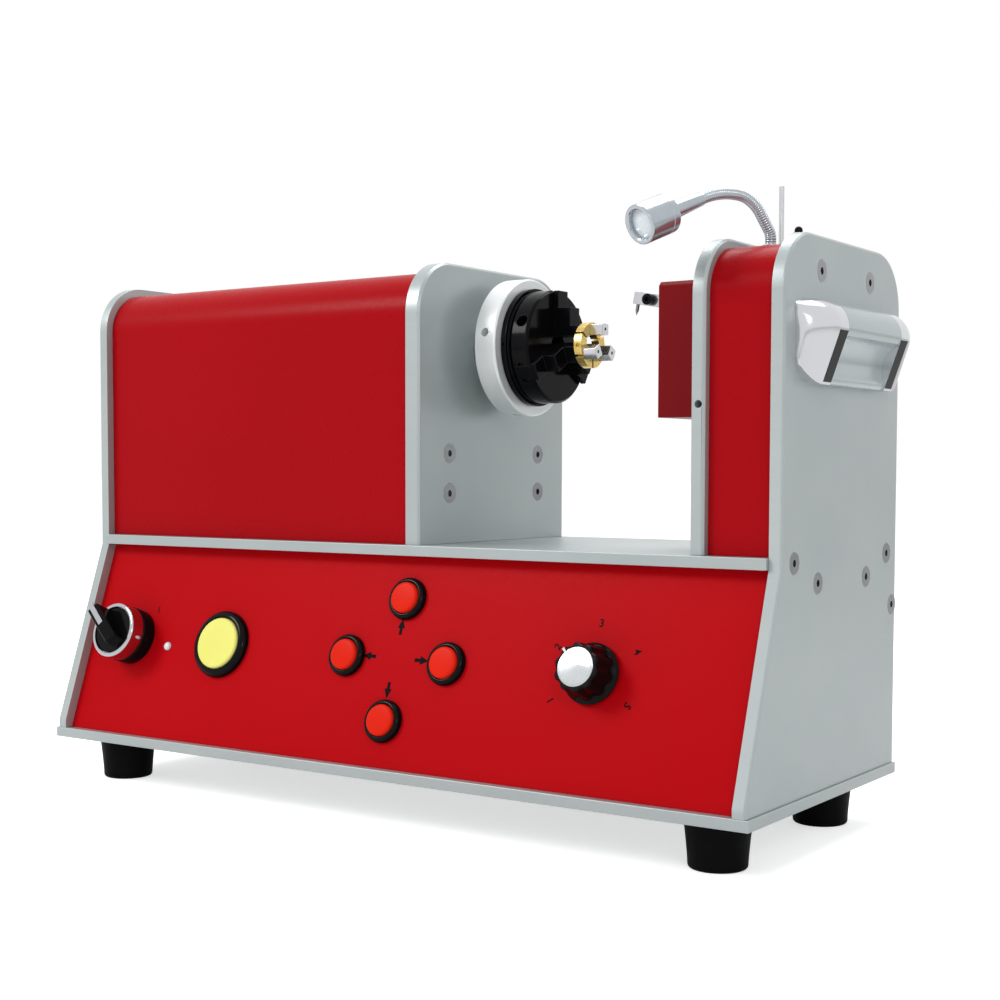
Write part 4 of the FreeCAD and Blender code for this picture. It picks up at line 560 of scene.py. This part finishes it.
def capOutline(scale, footScale):
    # The cap's outline out from the plate, drawn in towards its end.
    shrink = (1 - footScale) * handle["height"] * 0.5
    upper = handle["top"] - shrink * 0.35
    lower = handle["top"] - handle["height"] + shrink
    lip = handle["top"] - handle["lipDrop"] - shrink * 0.5
    out, foot = handle["projection"] * scale, handle["footProjection"] * scale
    bulge = (out * 0.78, upper - (upper - lip) * 0.32)
    points = arcThrough((0, upper), bulge, (out, lip), 12)
    points += straight((out, lip), (foot, lower), 10)
    points += straight((foot, lower), (0, lower), 3)
    points += straight((0, lower), (0, upper), 8)[:-1]
    return points


def gripOutline():
    top, bottom = handle["top"], handle["top"] - handle["height"]
    lip, out = top - handle["lipDrop"], handle["projection"]
    bulge = (out * 0.78, top - (top - lip) * 0.32)
    under = (out - handle["lipThickness"] * 0.5, lip - handle["lipThickness"])
    deep = (out - handle["recessDepth"], lip - 9.5)
    toe = (handle["footProjection"], bottom + 3)
    sole = (handle["footProjection"] * 0.85, bottom + 0.6)
    points = arcThrough((0, top), bulge, (out, lip), 14)
    points += straight((out, lip), under, 2)
    points += arcThrough(under, deep, toe, 16)[1:]
    points += arcThrough(toe, sole, (2.5, bottom), 6)[1:]
    points += straight((2.5, bottom), (0, bottom), 2)
    points += straight((0, bottom), (0, top), 6)[:-1]
    return points


def stripOutline():
    # The thin band that follows the sloping side of a cap.
    lip, low = handle["top"] - handle["lipDrop"], handle["top"] - handle["height"]
    side = straight((handle["projection"], lip), (handle["footProjection"], low), 8)
    face = [(handle["projection"] - 0.1, lip - 0.6)] + side[:-1] + [(handle["footProjection"] + 0.3, low + 1)]
    return [(x + 0.12, z) for x, z in face] + [(x - 0.6, z) for x, z in reversed(face)]


def makeHandles():
    half, cheek = handle["gripLength"] / 2, handle["cheekWidth"]
    for hand, sign in (("right", 1), ("left", -1)):
        def across(outline, y):
            return [(sign * (handle["face"] + x), handle["middle"] + y, z) for x, z in outline]

        grip = loftedPiece(f"{hand}_handle_grip",
                           [across(gripOutline(), y) for y in (-half, -half / 2, 0, half / 2, half)])
        worn(grip, materials["handle_grip"], "frame", "handle_grip", "handle_grips")
        for end, way in (("front", -1), ("back", 1)):
            sections = [across(capOutline(1, 1), way * half), across(capOutline(1, 1), way * (half + cheek))]
            for step in range(1, handle["capSteps"] + 1):
                share = math.sin(math.radians(90 * step / handle["capSteps"]))
                fall = max(0.04, math.sqrt(1 - (0.96 * share) ** 2))
                sections.append(across(capOutline(fall, 0.35 + 0.65 * fall),
                                       way * (half + cheek + handle["capWidth"] * share)))
            cap = loftedPiece(f"{hand}_handle_cap_{end}", sections)
            worn(cap, materials["handle_cap"], "frame", "handle_cap", "handle_caps")
            strip = loftedPiece(f"{hand}_handle_strip_{end}",
                                [across(stripOutline(), way * (half + 0.1)),
                                 across(stripOutline(), way * (half + cheek + handle["stripOverlap"]))])
            worn(strip, materials["black_gloss"], "frame", "handle_cap", "handle_caps")


makeHandles()
print("handles made")


# Rubber feet

foot = {"tipRadius": 12.5, "topRadius": 15.0, "height": 22.0, "round": 1.6, "recessRadius": 6.5,
        "recessDepth": 8.0, "spreadX": 174.0, "spreadY": 52.0}


def makeFeet():
    tip, top, height, bend = foot["tipRadius"], foot["topRadius"], foot["height"], foot["round"]
    recess = foot["recessRadius"]
    rings = [(recess, foot["recessDepth"]), (recess, 0), (tip - bend, 0)]
    rings += roundedRings(tip - bend, bend, bend, bend, 5, startDeg=-90)
    for step in range(1, 8):
        share = step / 7
        rings.append((tip + (top - 0.6 - tip) * share ** 1.3, bend + (height - 1.0 - bend) * share))
    rings += [(top, height - 0.5), (top, height), (recess * 0.5, height)]
    feet = [turnedPiece("rubber_foot_1", rings, edge=0.2)]
    feet += [copied(feet[0], f"rubber_foot_{number}") for number in (2, 3, 4)]
    corners = [(side, end) for side in (-1, 1) for end in (-1, 1)]
    for piece, (side, end) in zip(feet, corners):
        place = Matrix.Translation(Vector((side * foot["spreadX"], end * foot["spreadY"], 0)) * mm)
        finished(piece, place, "foot_rubber", "frame", "foot_rubber", "rubber_feet")


makeFeet()
print("feet made")


# Push buttons on the panel: a black bezel and a coloured cap each

startButton = {"along": -98.9, "up": 48.0, "bezelRadius": 17.0, "capRadius": 12.9, "bezelHeight": 3.9,
               "capHeight": 5.0, "bodyDepth": 26.0, "stroke": 2.5}
arrowButton = {"along": 11.4, "up": 48.0, "spread": 29.0, "bezelRadius": 10.1, "capRadius": 7.4,
               "bezelHeight": 3.2, "capHeight": 4.9, "bodyDepth": 20.0, "stroke": 1.8}
buttonGap = 0.3


def buttonBezel(name, data):
    inner = data["capRadius"] + buttonGap
    outer, height, depth = data["bezelRadius"], data["bezelHeight"], data["bodyDepth"]
    thread = inner + 0.8
    rings = [(0.05, -depth), (thread, -depth), (thread, 0), (outer, 0)]
    for step in range(9):
        angle = math.radians(90 * step / 8)
        across = (outer - inner - 0.6) * (1 - math.cos(angle)) ** 1.2
        rings.append((outer - across, 0.5 + (height - 0.5) * math.sin(angle)))
    rings += [(inner + 0.25, height - 0.05), (inner, height - 0.4), (inner, -depth + 4), (0.05, -depth + 4)]
    return turnedPiece(name, rings)


def buttonCap(name, data):
    radius, height = data["capRadius"], data["capHeight"]
    bottom = -data["bodyDepth"] + 4 + data["stroke"] + buttonGap
    rings = [(0.05, bottom), (radius, bottom), (radius, height - 1.5)]
    rings += roundedRings(radius - 1.3, height - 1.5, 1.3, 1.3, 6)
    for share in (0.75, 0.5, 0.25):
        rings.append(((radius - 1.3) * share, height - 0.2 * share * share))
    rings.append((0.05, height))
    return turnedPiece(name, rings)


def makeButton(name, data, place, body, finish, node):
    finished(buttonBezel(f"{name}_bezel", data), place,
             "black_gloss", "frame", "black_gloss", "button_bodies")
    finished(buttonCap(f"{name}_cap", data), place, finish, body, finish, node)


def makeButtons():
    makeButton("start", startButton, onPanel(startButton["along"], startButton["up"]),
               "start", "start_yellow", "start_button")
    ways = {"up": (0, 1), "down": (0, -1), "left": (-1, 0), "right": (1, 0)}
    for way, (across, rise) in ways.items():
        place = onPanel(arrowButton["along"] + across * arrowButton["spread"],
                        arrowButton["up"] + rise * arrowButton["spread"])
        makeButton(f"arrow_{way}", arrowButton, place, f"arrow_{way}", "arrow_red", f"arrow_{way}_button")


makeButtons()
print("buttons made")


# Pressure knob: fluted body, skirt, spun cap and white pointer

knob = {"along": 117.0, "up": 49.0, "skirtRadius": 13.5, "skirtHeight": 3.0, "bodyRadius": 12.0,
        "topRadius": 10.8, "height": 15.4, "capRadius": 8.55, "flutes": 10, "pointerDeg": 135.0,
        "fluteDepth": 0.95, "shaftRadius": 3.0, "shaftLength": 8.0}


def makeKnob():
    base = 1.5
    body, top, height = knob["bodyRadius"], knob["topRadius"], knob["height"]
    rings = [(knob["shaftRadius"], -knob["shaftLength"]), (knob["shaftRadius"], base),
             (knob["skirtRadius"] - 0.3, base), (knob["skirtRadius"], base + 0.3),
             (knob["skirtRadius"], base + 0.9), (knob["skirtRadius"] - 0.5, base + 1.5),
             (body + 0.4, knob["skirtHeight"] + 0.5), (body, knob["skirtHeight"] + 1.1)]
    for step in range(1, 9):
        share = step / 8
        rings.append((body + (top - body) * share,
                      knob["skirtHeight"] + 1.1 + (height - 1.2 - knob["skirtHeight"] - 1.1) * share))
    capRadius = knob["capRadius"]
    rings += [(top - 0.25, height - 0.75), (top - 0.8, height - 0.3), (capRadius + 0.15, height - 0.3)]
    piece = turnedPiece("knob_body", rings, segments=240)
    # Flutes: the body's rows are drawn in where a finger would lie.
    first, last = knob["skirtHeight"] + 0.9, height - 0.5
    for vertex in piece.data.vertices:
        x, y, z = (value / mm for value in vertex.co)
        radius = math.hypot(x, y)
        if radius > top - 1.0 and first < z < last + 0.3:
            turn = math.atan2(y, x) - math.radians(knob["pointerDeg"])
            wave = abs(math.sin(turn * knob["flutes"] / 2))
            draw = knob["fluteDepth"] * max(0, (wave - 0.45) / 0.55) ** 1.2
            share = (radius - draw) / radius
            vertex.co.x *= share
            vertex.co.y *= share
    place = onPanel(knob["along"], knob["up"])
    finished(piece, place, "knob_black", "pressure", "knob_black", "pressure_knob")
    cap = turnedPiece("knob_disc", [(capRadius, height - 0.6), (capRadius, height - 0.1),
                                    (capRadius - 0.25, height + 0.12), (capRadius - 0.9, height + 0.15),
                                    (capRadius - 1.1, height + 0.02), (capRadius * 0.5, height + 0.12),
                                    (0.05, height + 0.18)])
    finished(cap, place, "knob_disc", "pressure", "knob_black", "pressure_knob")
    pointer = block("knob_pointer", (top - capRadius - 0.2, 1.1, 0.9))
    softEdges(pointer, 0.12)
    turned = onPanel(knob["along"], knob["up"], knob["pointerDeg"])
    place = turned @ Matrix.Translation(Vector(((top + capRadius) / 2, 0, height - 0.55)) * mm)
    finished(pointer, place, "print_white", "pressure", "knob_black", "pressure_knob")


makeKnob()
print("knob made")


# Selector switch: black collar, chrome ring, black disc and lever

selector = {"along": -162.0, "up": 48.0, "radius": 14.45, "collarHeight": 8.0, "ringHeight": 16.0,
            "leverHeight": 25.0, "leverWidth": 7.0, "restDeg": 135.0, "contactSize": 28.0,
            "contactDepth": 30.0, "panelThickness": 2.5, "inlayLength": 13.0, "inlayWidth": 3.0,
            "leverFall": 3.5, "threadRadius": 11}


def makeSelector():
    radius, collar, top = selector["radius"], selector["collarHeight"], selector["ringHeight"]
    size, depth, thread = selector["contactSize"], selector["contactDepth"], selector["threadRadius"]
    place = onPanel(selector["along"], selector["up"])
    turned = onPanel(selector["along"], selector["up"], selector["restDeg"])

    rings = [(0.05, -depth), (thread, -depth), (thread, 0), (radius - 0.2, 0), (radius, 0.3),
             (radius, collar - 0.8), (radius - 0.3, collar - 0.3), (radius - 0.8, collar),
             (radius - 1.6, collar), (radius - 1.6, collar + 0.5), (0.05, collar + 0.5)]
    finished(turnedPiece("selector_collar", rings), place,
             "black_gloss", "frame", "black_gloss", "selector_body")

    inner = radius - 2.3
    rings = [(radius - 0.9, collar + 0.1), (radius - 0.25, collar + 0.4), (radius - 0.2, top - 1.3)]
    rings += roundedRings(radius - 1.2, top - 1.0, 1, 1, 5)
    rings += [(radius - 2.1, top), (inner, top - 0.3), (inner, top - 3), (radius - 3.2, top - 3)]
    finished(turnedPiece("selector_ring", rings, hollow=True), place,
             "selector_chrome", "frame", "selector_chrome", "selector_body")

    dial, face = inner - buttonGap, top - 3 + buttonGap
    rings = [(0.05, face), (dial - 0.2, face), (dial, face + 0.2), (dial, face + 2.0),
             (dial - 0.4, face + 2.4), (0.05, face + 2.4)]
    finished(turnedPiece("selector_disc", rings), place,
             "black_gloss", "selector", "black_gloss", "selector_knob")

    # The lever is a block drawn out along the dial, its end higher than its heel.
    middle = face + 4.4
    lever = block("selector_lever", (2 * dial - 3, selector["leverWidth"], 5), (0, 0, middle))
    for vertex in lever.data.vertices:
        far, high = vertex.co.x > 0, vertex.co.z > middle * mm
        if high:
            vertex.co.z = (selector["leverHeight"] - (0 if far else selector["leverFall"])) * mm
        if far:
            vertex.co.x += (3.0 if high else 1.4) * mm
        elif high:
            vertex.co.x += 2.5 * mm
    softEdges(lever, 0.9, segments=4)
    finished(lever, turned, "black_gloss", "selector", "black_gloss", "selector_knob")

    inlay = block("selector_inlay", (selector["inlayLength"], selector["inlayWidth"], 0.8))
    softEdges(inlay, 0.25)
    slope = Matrix.Rotation(-math.atan2(selector["leverFall"], 2 * dial), 4, "Y")
    onLever = Matrix.Translation(Vector((dial - 3.2, 0, selector["leverHeight"] - 0.85)) * mm) @ slope
    finished(inlay, turned @ onLever, "selector_chrome", "selector", "selector_chrome", "selector_knob")

    contacts = block("selector_contacts", (size, size, depth),
                     (0, 0, -selector["panelThickness"] - depth / 2))
    softEdges(contacts, 0.5)
    finished(contacts, place, "inlet_plastic", "frame", "black_gloss", "selector_body")


makeSelector()
print("selector made")


# Small power light

light = {"along": -136.3, "up": 44.7, "radius": 1.6}


def makeLight():
    radius = light["radius"]
    rows = [(radius, -9), (radius, 0.02), (radius + 0.5, 0.02), (radius + 0.6, 0.15), (radius + 0.6, 0.55)]
    rows += roundedRings(0, 0.7, radius + 0.4, 1.1, 5, least=0.05)
    finished(turnedPiece("power_lens", rows, segments=48), onPanel(light["along"], light["up"]),
             "lens_clear", "frame", "lens_clear", "power_light")


makeLight()


# Lamp on its gooseneck

lamp = {"root": (170.1, 0.2), "headingDeg": 20.0, "plateTop": 257.0, "tubeRadius": 2.5, "ribPitch": 1.1,
        "ribDepth": 0.28, "route": [(5.0, 90), (6.0, 90, 52), (8.5, 52), (17.0, 52, 4), (46.0, 4, -22),
                                    (21.1, -22)],
        "headRadius": 8.3, "headLength": 16.5, "sleeveLength": 19.8, "sleeveRadius": 3.9,
        "lensRecess": 2.0, "lensRadius": 6.2, "button": (184.0, -2.0), "buttonRadius": 1.75,
        "buttonFoot": 253.0, "buttonTop": 266.0}


def lampWay():
    heading = math.radians(lamp["headingDeg"])
    return Vector((-math.sin(heading), -math.cos(heading), 0))


def neckPath():
    # Points and headings along the gooseneck's middle. A bend has a radius and two headings, a
    # straight stretch its length and one.
    forward, height = 0.0, lamp["plateTop"]
    points = [(forward, height, 90.0)]
    for stretch in lamp["route"]:
        if len(stretch) == 3:
            radius, start, end = stretch
            steps = max(4, int(abs(start - end) / 3))
            for step in range(1, steps + 1):
                first = math.radians(start + (end - start) * (step - 1) / steps)
                second = math.radians(start + (end - start) * step / steps)
                forward += radius * (math.sin(first) - math.sin(second))
                height += radius * (math.cos(second) - math.cos(first))
                points.append((forward, height, math.degrees(second)))
        else:
            length, start = stretch
            for step in range(1, 4):
                forward += length / 3 * math.cos(math.radians(start))
                height += length / 3 * math.sin(math.radians(start))
                points.append((forward, height, start))
    return points


def makeNeck():
    way = lampWay()
    root = Vector((lamp["root"][0], lamp["root"][1], 0))
    line = [(root + way * forward + Vector((0, 0, height))) * mm for forward, height, heading in neckPath()]
    curve = bpy.data.curves.new("neck_path", "CURVE")
    curve.dimensions = "3D"
    curve.twist_mode = "Z_UP"
    spline = curve.splines.new("POLY")
    spline.points.add(len(line) - 1)
    for point, place in zip(spline.points, line):
        point.co = (*place, 1)
    path = bpy.data.objects.new("neck_path", curve)
    bpy.context.collection.objects.link(path)
    length = sum((second - first).length for first, second in zip(line, line[1:])) / mm
    count = int(length / lamp["ribPitch"])
    pitch = length / count
    radius, depth = lamp["tubeRadius"], lamp["ribDepth"]
    rows = []
    for index in range(count):
        start = index * pitch
        rows += [(radius - depth, start), (radius - depth * 0.25, start + pitch * 0.22),
                 (radius, start + pitch * 0.5), (radius - depth * 0.25, start + pitch * 0.78)]
    rows.append((radius - depth, length))
    neck = turnedPiece("lamp_neck_coils", rows, segments=32)
    pick(neck)
    bpy.ops.object.shade_smooth_by_angle(angle=math.radians(80))
    applied(neck, "CURVE", object=path, deform_axis="POS_Z")
    bpy.data.objects.remove(path)
    worn(neck, materials["lamp_chrome"], "lamp", "lamp_chrome", "lamp_neck")


def makeLampHead():
    way = lampWay()
    forward, height, heading = neckPath()[-1]
    root = Vector((lamp["root"][0], lamp["root"][1], 0))
    point = root + way * forward + Vector((0, 0, height))
    slope = math.radians(heading)
    axis = (way * math.cos(slope) + Vector((0, 0, math.sin(slope)))).normalized()
    side = Vector((0, 0, 1)).cross(way)
    place = Matrix.Translation(point * mm) @ Matrix((side, axis.cross(side), axis)).transposed().to_4x4()
    radius, length = lamp["headRadius"], lamp["headLength"]
    sleeve, sleeveRadius, tube = lamp["sleeveLength"], lamp["sleeveRadius"], lamp["tubeRadius"]
    rows = [(tube + 0.02, -sleeve), (tube + 0.25, -sleeve), (tube + 0.4, -sleeve + 0.6)]
    for step in range(1, 7):
        share = step / 6
        rows.append((tube + 0.4 + (sleeveRadius - tube - 0.4) * share,
                     -sleeve + 0.6 + (sleeve - 0.8) * share))
    rows += [(sleeveRadius + 0.2, 0.0), (radius - 1.6, 0.05)]
    rows += roundedRings(radius - 1.2, 1.3, 1.2, 1.2, 5, startDeg=-90, first=0)
    rows += [(radius, 4.0), (radius - 0.15, 4.1), (radius - 0.15, 4.5), (radius, 4.6), (radius, length - 0.6)]
    rows += roundedRings(radius - 0.5, length - 0.5, 0.5, 0.5, 4)
    rows += [(lamp["lensRadius"] + 0.5, length), (lamp["lensRadius"], length - 0.5),
             (lamp["lensRadius"], length - lamp["lensRecess"] - 0.6)]
    finished(turnedPiece("lamp_shell", rows), place, "lamp_chrome", "lamp", "lamp_chrome", "lamp_head")
    lensRadius, recess = lamp["lensRadius"] - 0.03, lamp["lensRecess"]
    lensRows = [(lensRadius, length - recess - 1.1), (lensRadius, length - recess - 0.5)]
    for share in (0.85, 0.7, 0.5, 0.3, 0.01):
        lensRows.append((lensRadius * share, length - recess - 0.5 + 0.9 * (1 - share * share)))
    finished(turnedPiece("lamp_lens", lensRows), place, "lens_clear", "lamp", "lens_clear", "lamp_head")


def makeLampButton():
    radius, top = lamp["buttonRadius"], lamp["buttonTop"]
    rows = [(radius, lamp["buttonFoot"]), (radius, top - radius)]
    rows += roundedRings(0, top - radius, radius, radius, 8)
    place = Matrix.Translation(Vector((*lamp["button"], 0)) * mm)
    finished(turnedPiece("lamp_push_button", rows, segments=48), place,
             "black_gloss", "lamp_switch", "black_gloss", "lamp_button")


makeNeck()
makeLampHead()
makeLampButton()
print("lamp made")


# Printed marks on the panel: arrows by the buttons, dial numbers and switch marks

marks = {"arrowLength": 7.8, "arrowWidth": 1.7, "headWidth": 4.2, "headLength": 4.6, "thickness": 0.04,
         "digitSize": 4.9, "digitRadius": 22.5,
         "digits": {"1": 214, "2": 151, "3": 90, "4": 30, "5": -32}, "switchMark": (-148.8, 63.3),
         "arrows": {"up": (10.5, 61.5, 90), "down": (10.0, 35.8, -90), "left": (-2.4, 48.8, 180),
                    "right": (23.4, 48.7, 0)}}


def printedArrow(name, along, up, turnDeg):
    # A shaft from a plane and a head from a three-sided circle, lying along local X.
    letGo()
    tip, head, half = marks["arrowLength"] / 2, marks["headLength"], marks["headWidth"] / 2
    middle = Vector((-head / 2, 0, 0)) * mm
    bpy.ops.mesh.primitive_plane_add(size=mm, location=middle)
    arrow = bpy.context.object
    arrow.name = name
    bpy.ops.object.mode_set(mode="EDIT")
    bpy.ops.transform.resize(value=(marks["arrowLength"] - head, marks["arrowWidth"], 1))
    bpy.ops.mesh.select_all(action="DESELECT")
    bpy.ops.mesh.primitive_circle_add(vertices=3, radius=mm, fill_type="NGON", location=middle)
    bpy.ops.object.mode_set(mode="OBJECT")
    corners = [(tip, 0), (tip - head, half), (tip - head, -half)]
    for vertex, (x, y) in zip(list(arrow.data.vertices)[-3:], corners):
        vertex.co = Vector((x, y, 0)) * mm - middle
    applied(arrow, "SOLIDIFY", thickness=marks["thickness"] * mm, offset=1)
    finished(arrow, onPanel(along, up, turnDeg, 0.01), "print_black", "frame", "red_sheet")


def printedText(name, words, along, up, turnDeg=0):
    letGo()
    bpy.ops.object.text_add()
    mark = bpy.context.object
    mark.name = name
    mark.data.body = words
    mark.data.size = marks["digitSize"] * mm
    mark.data.align_x = "CENTER"
    mark.data.align_y = "CENTER"
    mark.data.extrude = marks["thickness"] / 2 * mm
    mark.data.offset = 0.1 * mm
    bpy.ops.object.convert(target="MESH")
    finished(mark, onPanel(along, up, turnDeg, 0.03), "print_black", "frame", "red_sheet")


def makeMarks():
    for way, (along, up, turnDeg) in marks["arrows"].items():
        printedArrow(f"arrow_mark_{way}", along, up, turnDeg)
    reach = marks["digitRadius"]
    for digit, degrees in marks["digits"].items():
        angle = math.radians(degrees)
        printedText(f"dial_number_{digit}", digit, knob["along"] + reach * math.cos(angle),
                    knob["up"] + reach * math.sin(angle), degrees - 90)
    printedText("switch_mark_1", "1", *marks["switchMark"])


makeMarks()
print("marks printed")


# Floor, light and camera

studio = {"floorSize": 30.0, "floorColour": (236, 236, 236), "fillLight": 0.62,
          "floorGlow": 0.6, "floorInMirror": 0.1, "middle": (0, 0, 0.14)}
softLamps = {"key_light": {"place": (-0.9, -1.1, 1.1), "width": 0.5, "height": 0.5, "power": 11.0},
             "side_light": {"place": (1.1, -1.2, 0.8), "width": 0.3, "height": 0.3, "power": 3.0},
             "top_light": {"place": (0.0, 0.5, 1.4), "width": 1.2, "height": 0.8, "power": 12.0}}


def makeFloor():
    letGo()
    bpy.ops.mesh.primitive_plane_add(size=studio["floorSize"], location=(0, 0, -0.00002))
    floor = bpy.context.object
    floor.name = "studio_floor"
    material = bpy.data.materials.new("studio_floor")
    material.use_nodes = True
    tree = material.node_tree
    shader = tree.nodes["Principled BSDF"]
    shader.inputs["Base Color"].default_value = paint(*studio["floorColour"])
    shader.inputs["Roughness"].default_value = 0.9
    shader.inputs["Specular IOR Level"].default_value = 0.1
    rays = tree.nodes.new("ShaderNodeLightPath")
    glow = tree.nodes.new("ShaderNodeEmission")
    glow.inputs["Color"].default_value = (1, 1, 1, 1)
    mirrored = tree.nodes.new("ShaderNodeMath")
    mirrored.operation = "MULTIPLY"
    mirrored.inputs[1].default_value = studio["floorInMirror"]
    tree.links.new(rays.outputs["Is Glossy Ray"], mirrored.inputs[0])
    level = tree.nodes.new("ShaderNodeMath")
    level.operation = "MULTIPLY_ADD"
    level.inputs[1].default_value = studio["floorGlow"]
    tree.links.new(rays.outputs["Is Camera Ray"], level.inputs[0])
    tree.links.new(mirrored.outputs["Value"], level.inputs[2])
    tree.links.new(level.outputs["Value"], glow.inputs["Strength"])
    both = tree.nodes.new("ShaderNodeAddShader")
    tree.links.new(shader.outputs["BSDF"], both.inputs[0])
    tree.links.new(glow.outputs["Emission"], both.inputs[1])
    tree.links.new(both.outputs["Shader"], tree.nodes["Material Output"].inputs["Surface"])
    floor.data.materials.append(material)


def makeWorld():
    world = bpy.data.worlds.new("studio")
    bpy.context.scene.world = world
    world.use_nodes = True
    tree = world.node_tree
    tree.nodes.clear()
    rays = tree.nodes.new("ShaderNodeLightPath")
    seen = tree.nodes.new("ShaderNodeMath")
    seen.operation = "MAXIMUM"
    through = tree.nodes.new("ShaderNodeMath")
    through.operation = "MAXIMUM"
    tree.links.new(rays.outputs["Is Camera Ray"], seen.inputs[0])
    tree.links.new(rays.outputs["Is Glossy Ray"], seen.inputs[1])
    tree.links.new(seen.outputs["Value"], through.inputs[0])
    tree.links.new(rays.outputs["Is Transmission Ray"], through.inputs[1])
    fill = tree.nodes.new("ShaderNodeBackground")
    fill.inputs["Color"].default_value = (1, 1, 1, 1)
    fill.inputs["Strength"].default_value = studio["fillLight"]
    white = tree.nodes.new("ShaderNodeBackground")
    white.inputs["Color"].default_value = (1, 1, 1, 1)
    white.inputs["Strength"].default_value = 1.0
    choose = tree.nodes.new("ShaderNodeMixShader")
    tree.links.new(through.outputs["Value"], choose.inputs["Fac"])
    tree.links.new(fill.outputs["Background"], choose.inputs[1])
    tree.links.new(white.outputs["Background"], choose.inputs[2])
    output = tree.nodes.new("ShaderNodeOutputWorld")
    tree.links.new(choose.outputs["Shader"], output.inputs["Surface"])


def softLamp(name, look):
    data = bpy.data.lights.new(name, "AREA")
    data.shape = "RECTANGLE"
    data.size = look["width"]
    data.size_y = look["height"]
    data.energy = look["power"]
    lampObject = bpy.data.objects.new(name, data)
    bpy.context.collection.objects.link(lampObject)
    lampObject.location = look["place"]
    way = Vector(studio["middle"]) - Vector(look["place"])
    lampObject.rotation_euler = way.to_track_quat("-Z", "Y").to_euler()


cameraPlace = {"x": 472.456, "y": -645.766, "z": 164.121, "yawDeg": 34.421, "pitchDeg": -3.152,
               "rollDeg": 0.121, "lens": 58.42, "shiftX": -0.00068, "shiftY": 0.0559}


def makeCamera():
    data = bpy.data.cameras.new("camera")
    data.sensor_width = 36
    data.lens = cameraPlace["lens"]
    data.shift_x = cameraPlace["shiftX"]
    data.shift_y = cameraPlace["shiftY"]
    data.clip_start = 0.01
    camera = bpy.data.objects.new("camera", data)
    bpy.context.collection.objects.link(camera)
    yaw, pitch, roll = (math.radians(cameraPlace[name]) for name in ("yawDeg", "pitchDeg", "rollDeg"))
    ahead = Vector((-math.sin(yaw) * math.cos(pitch), math.cos(yaw) * math.cos(pitch), math.sin(pitch)))
    right = Vector((math.cos(yaw), math.sin(yaw), 0))
    up = right.cross(ahead)
    tiltedRight = right * math.cos(roll) + up * math.sin(roll)
    tiltedUp = up * math.cos(roll) - right * math.sin(roll)
    axes = Matrix((tiltedRight, tiltedUp, -ahead)).transposed().to_4x4()
    spot = Vector((cameraPlace["x"], cameraPlace["y"], cameraPlace["z"])) * mm
    camera.matrix_world = Matrix.Translation(spot) @ axes
    bpy.context.scene.camera = camera


makeFloor()
makeWorld()
for name, look in softLamps.items():
    softLamp(name, look)
makeCamera()
bpy.context.scene.view_settings.view_transform = "Standard"
print("studio ready")

letGo()
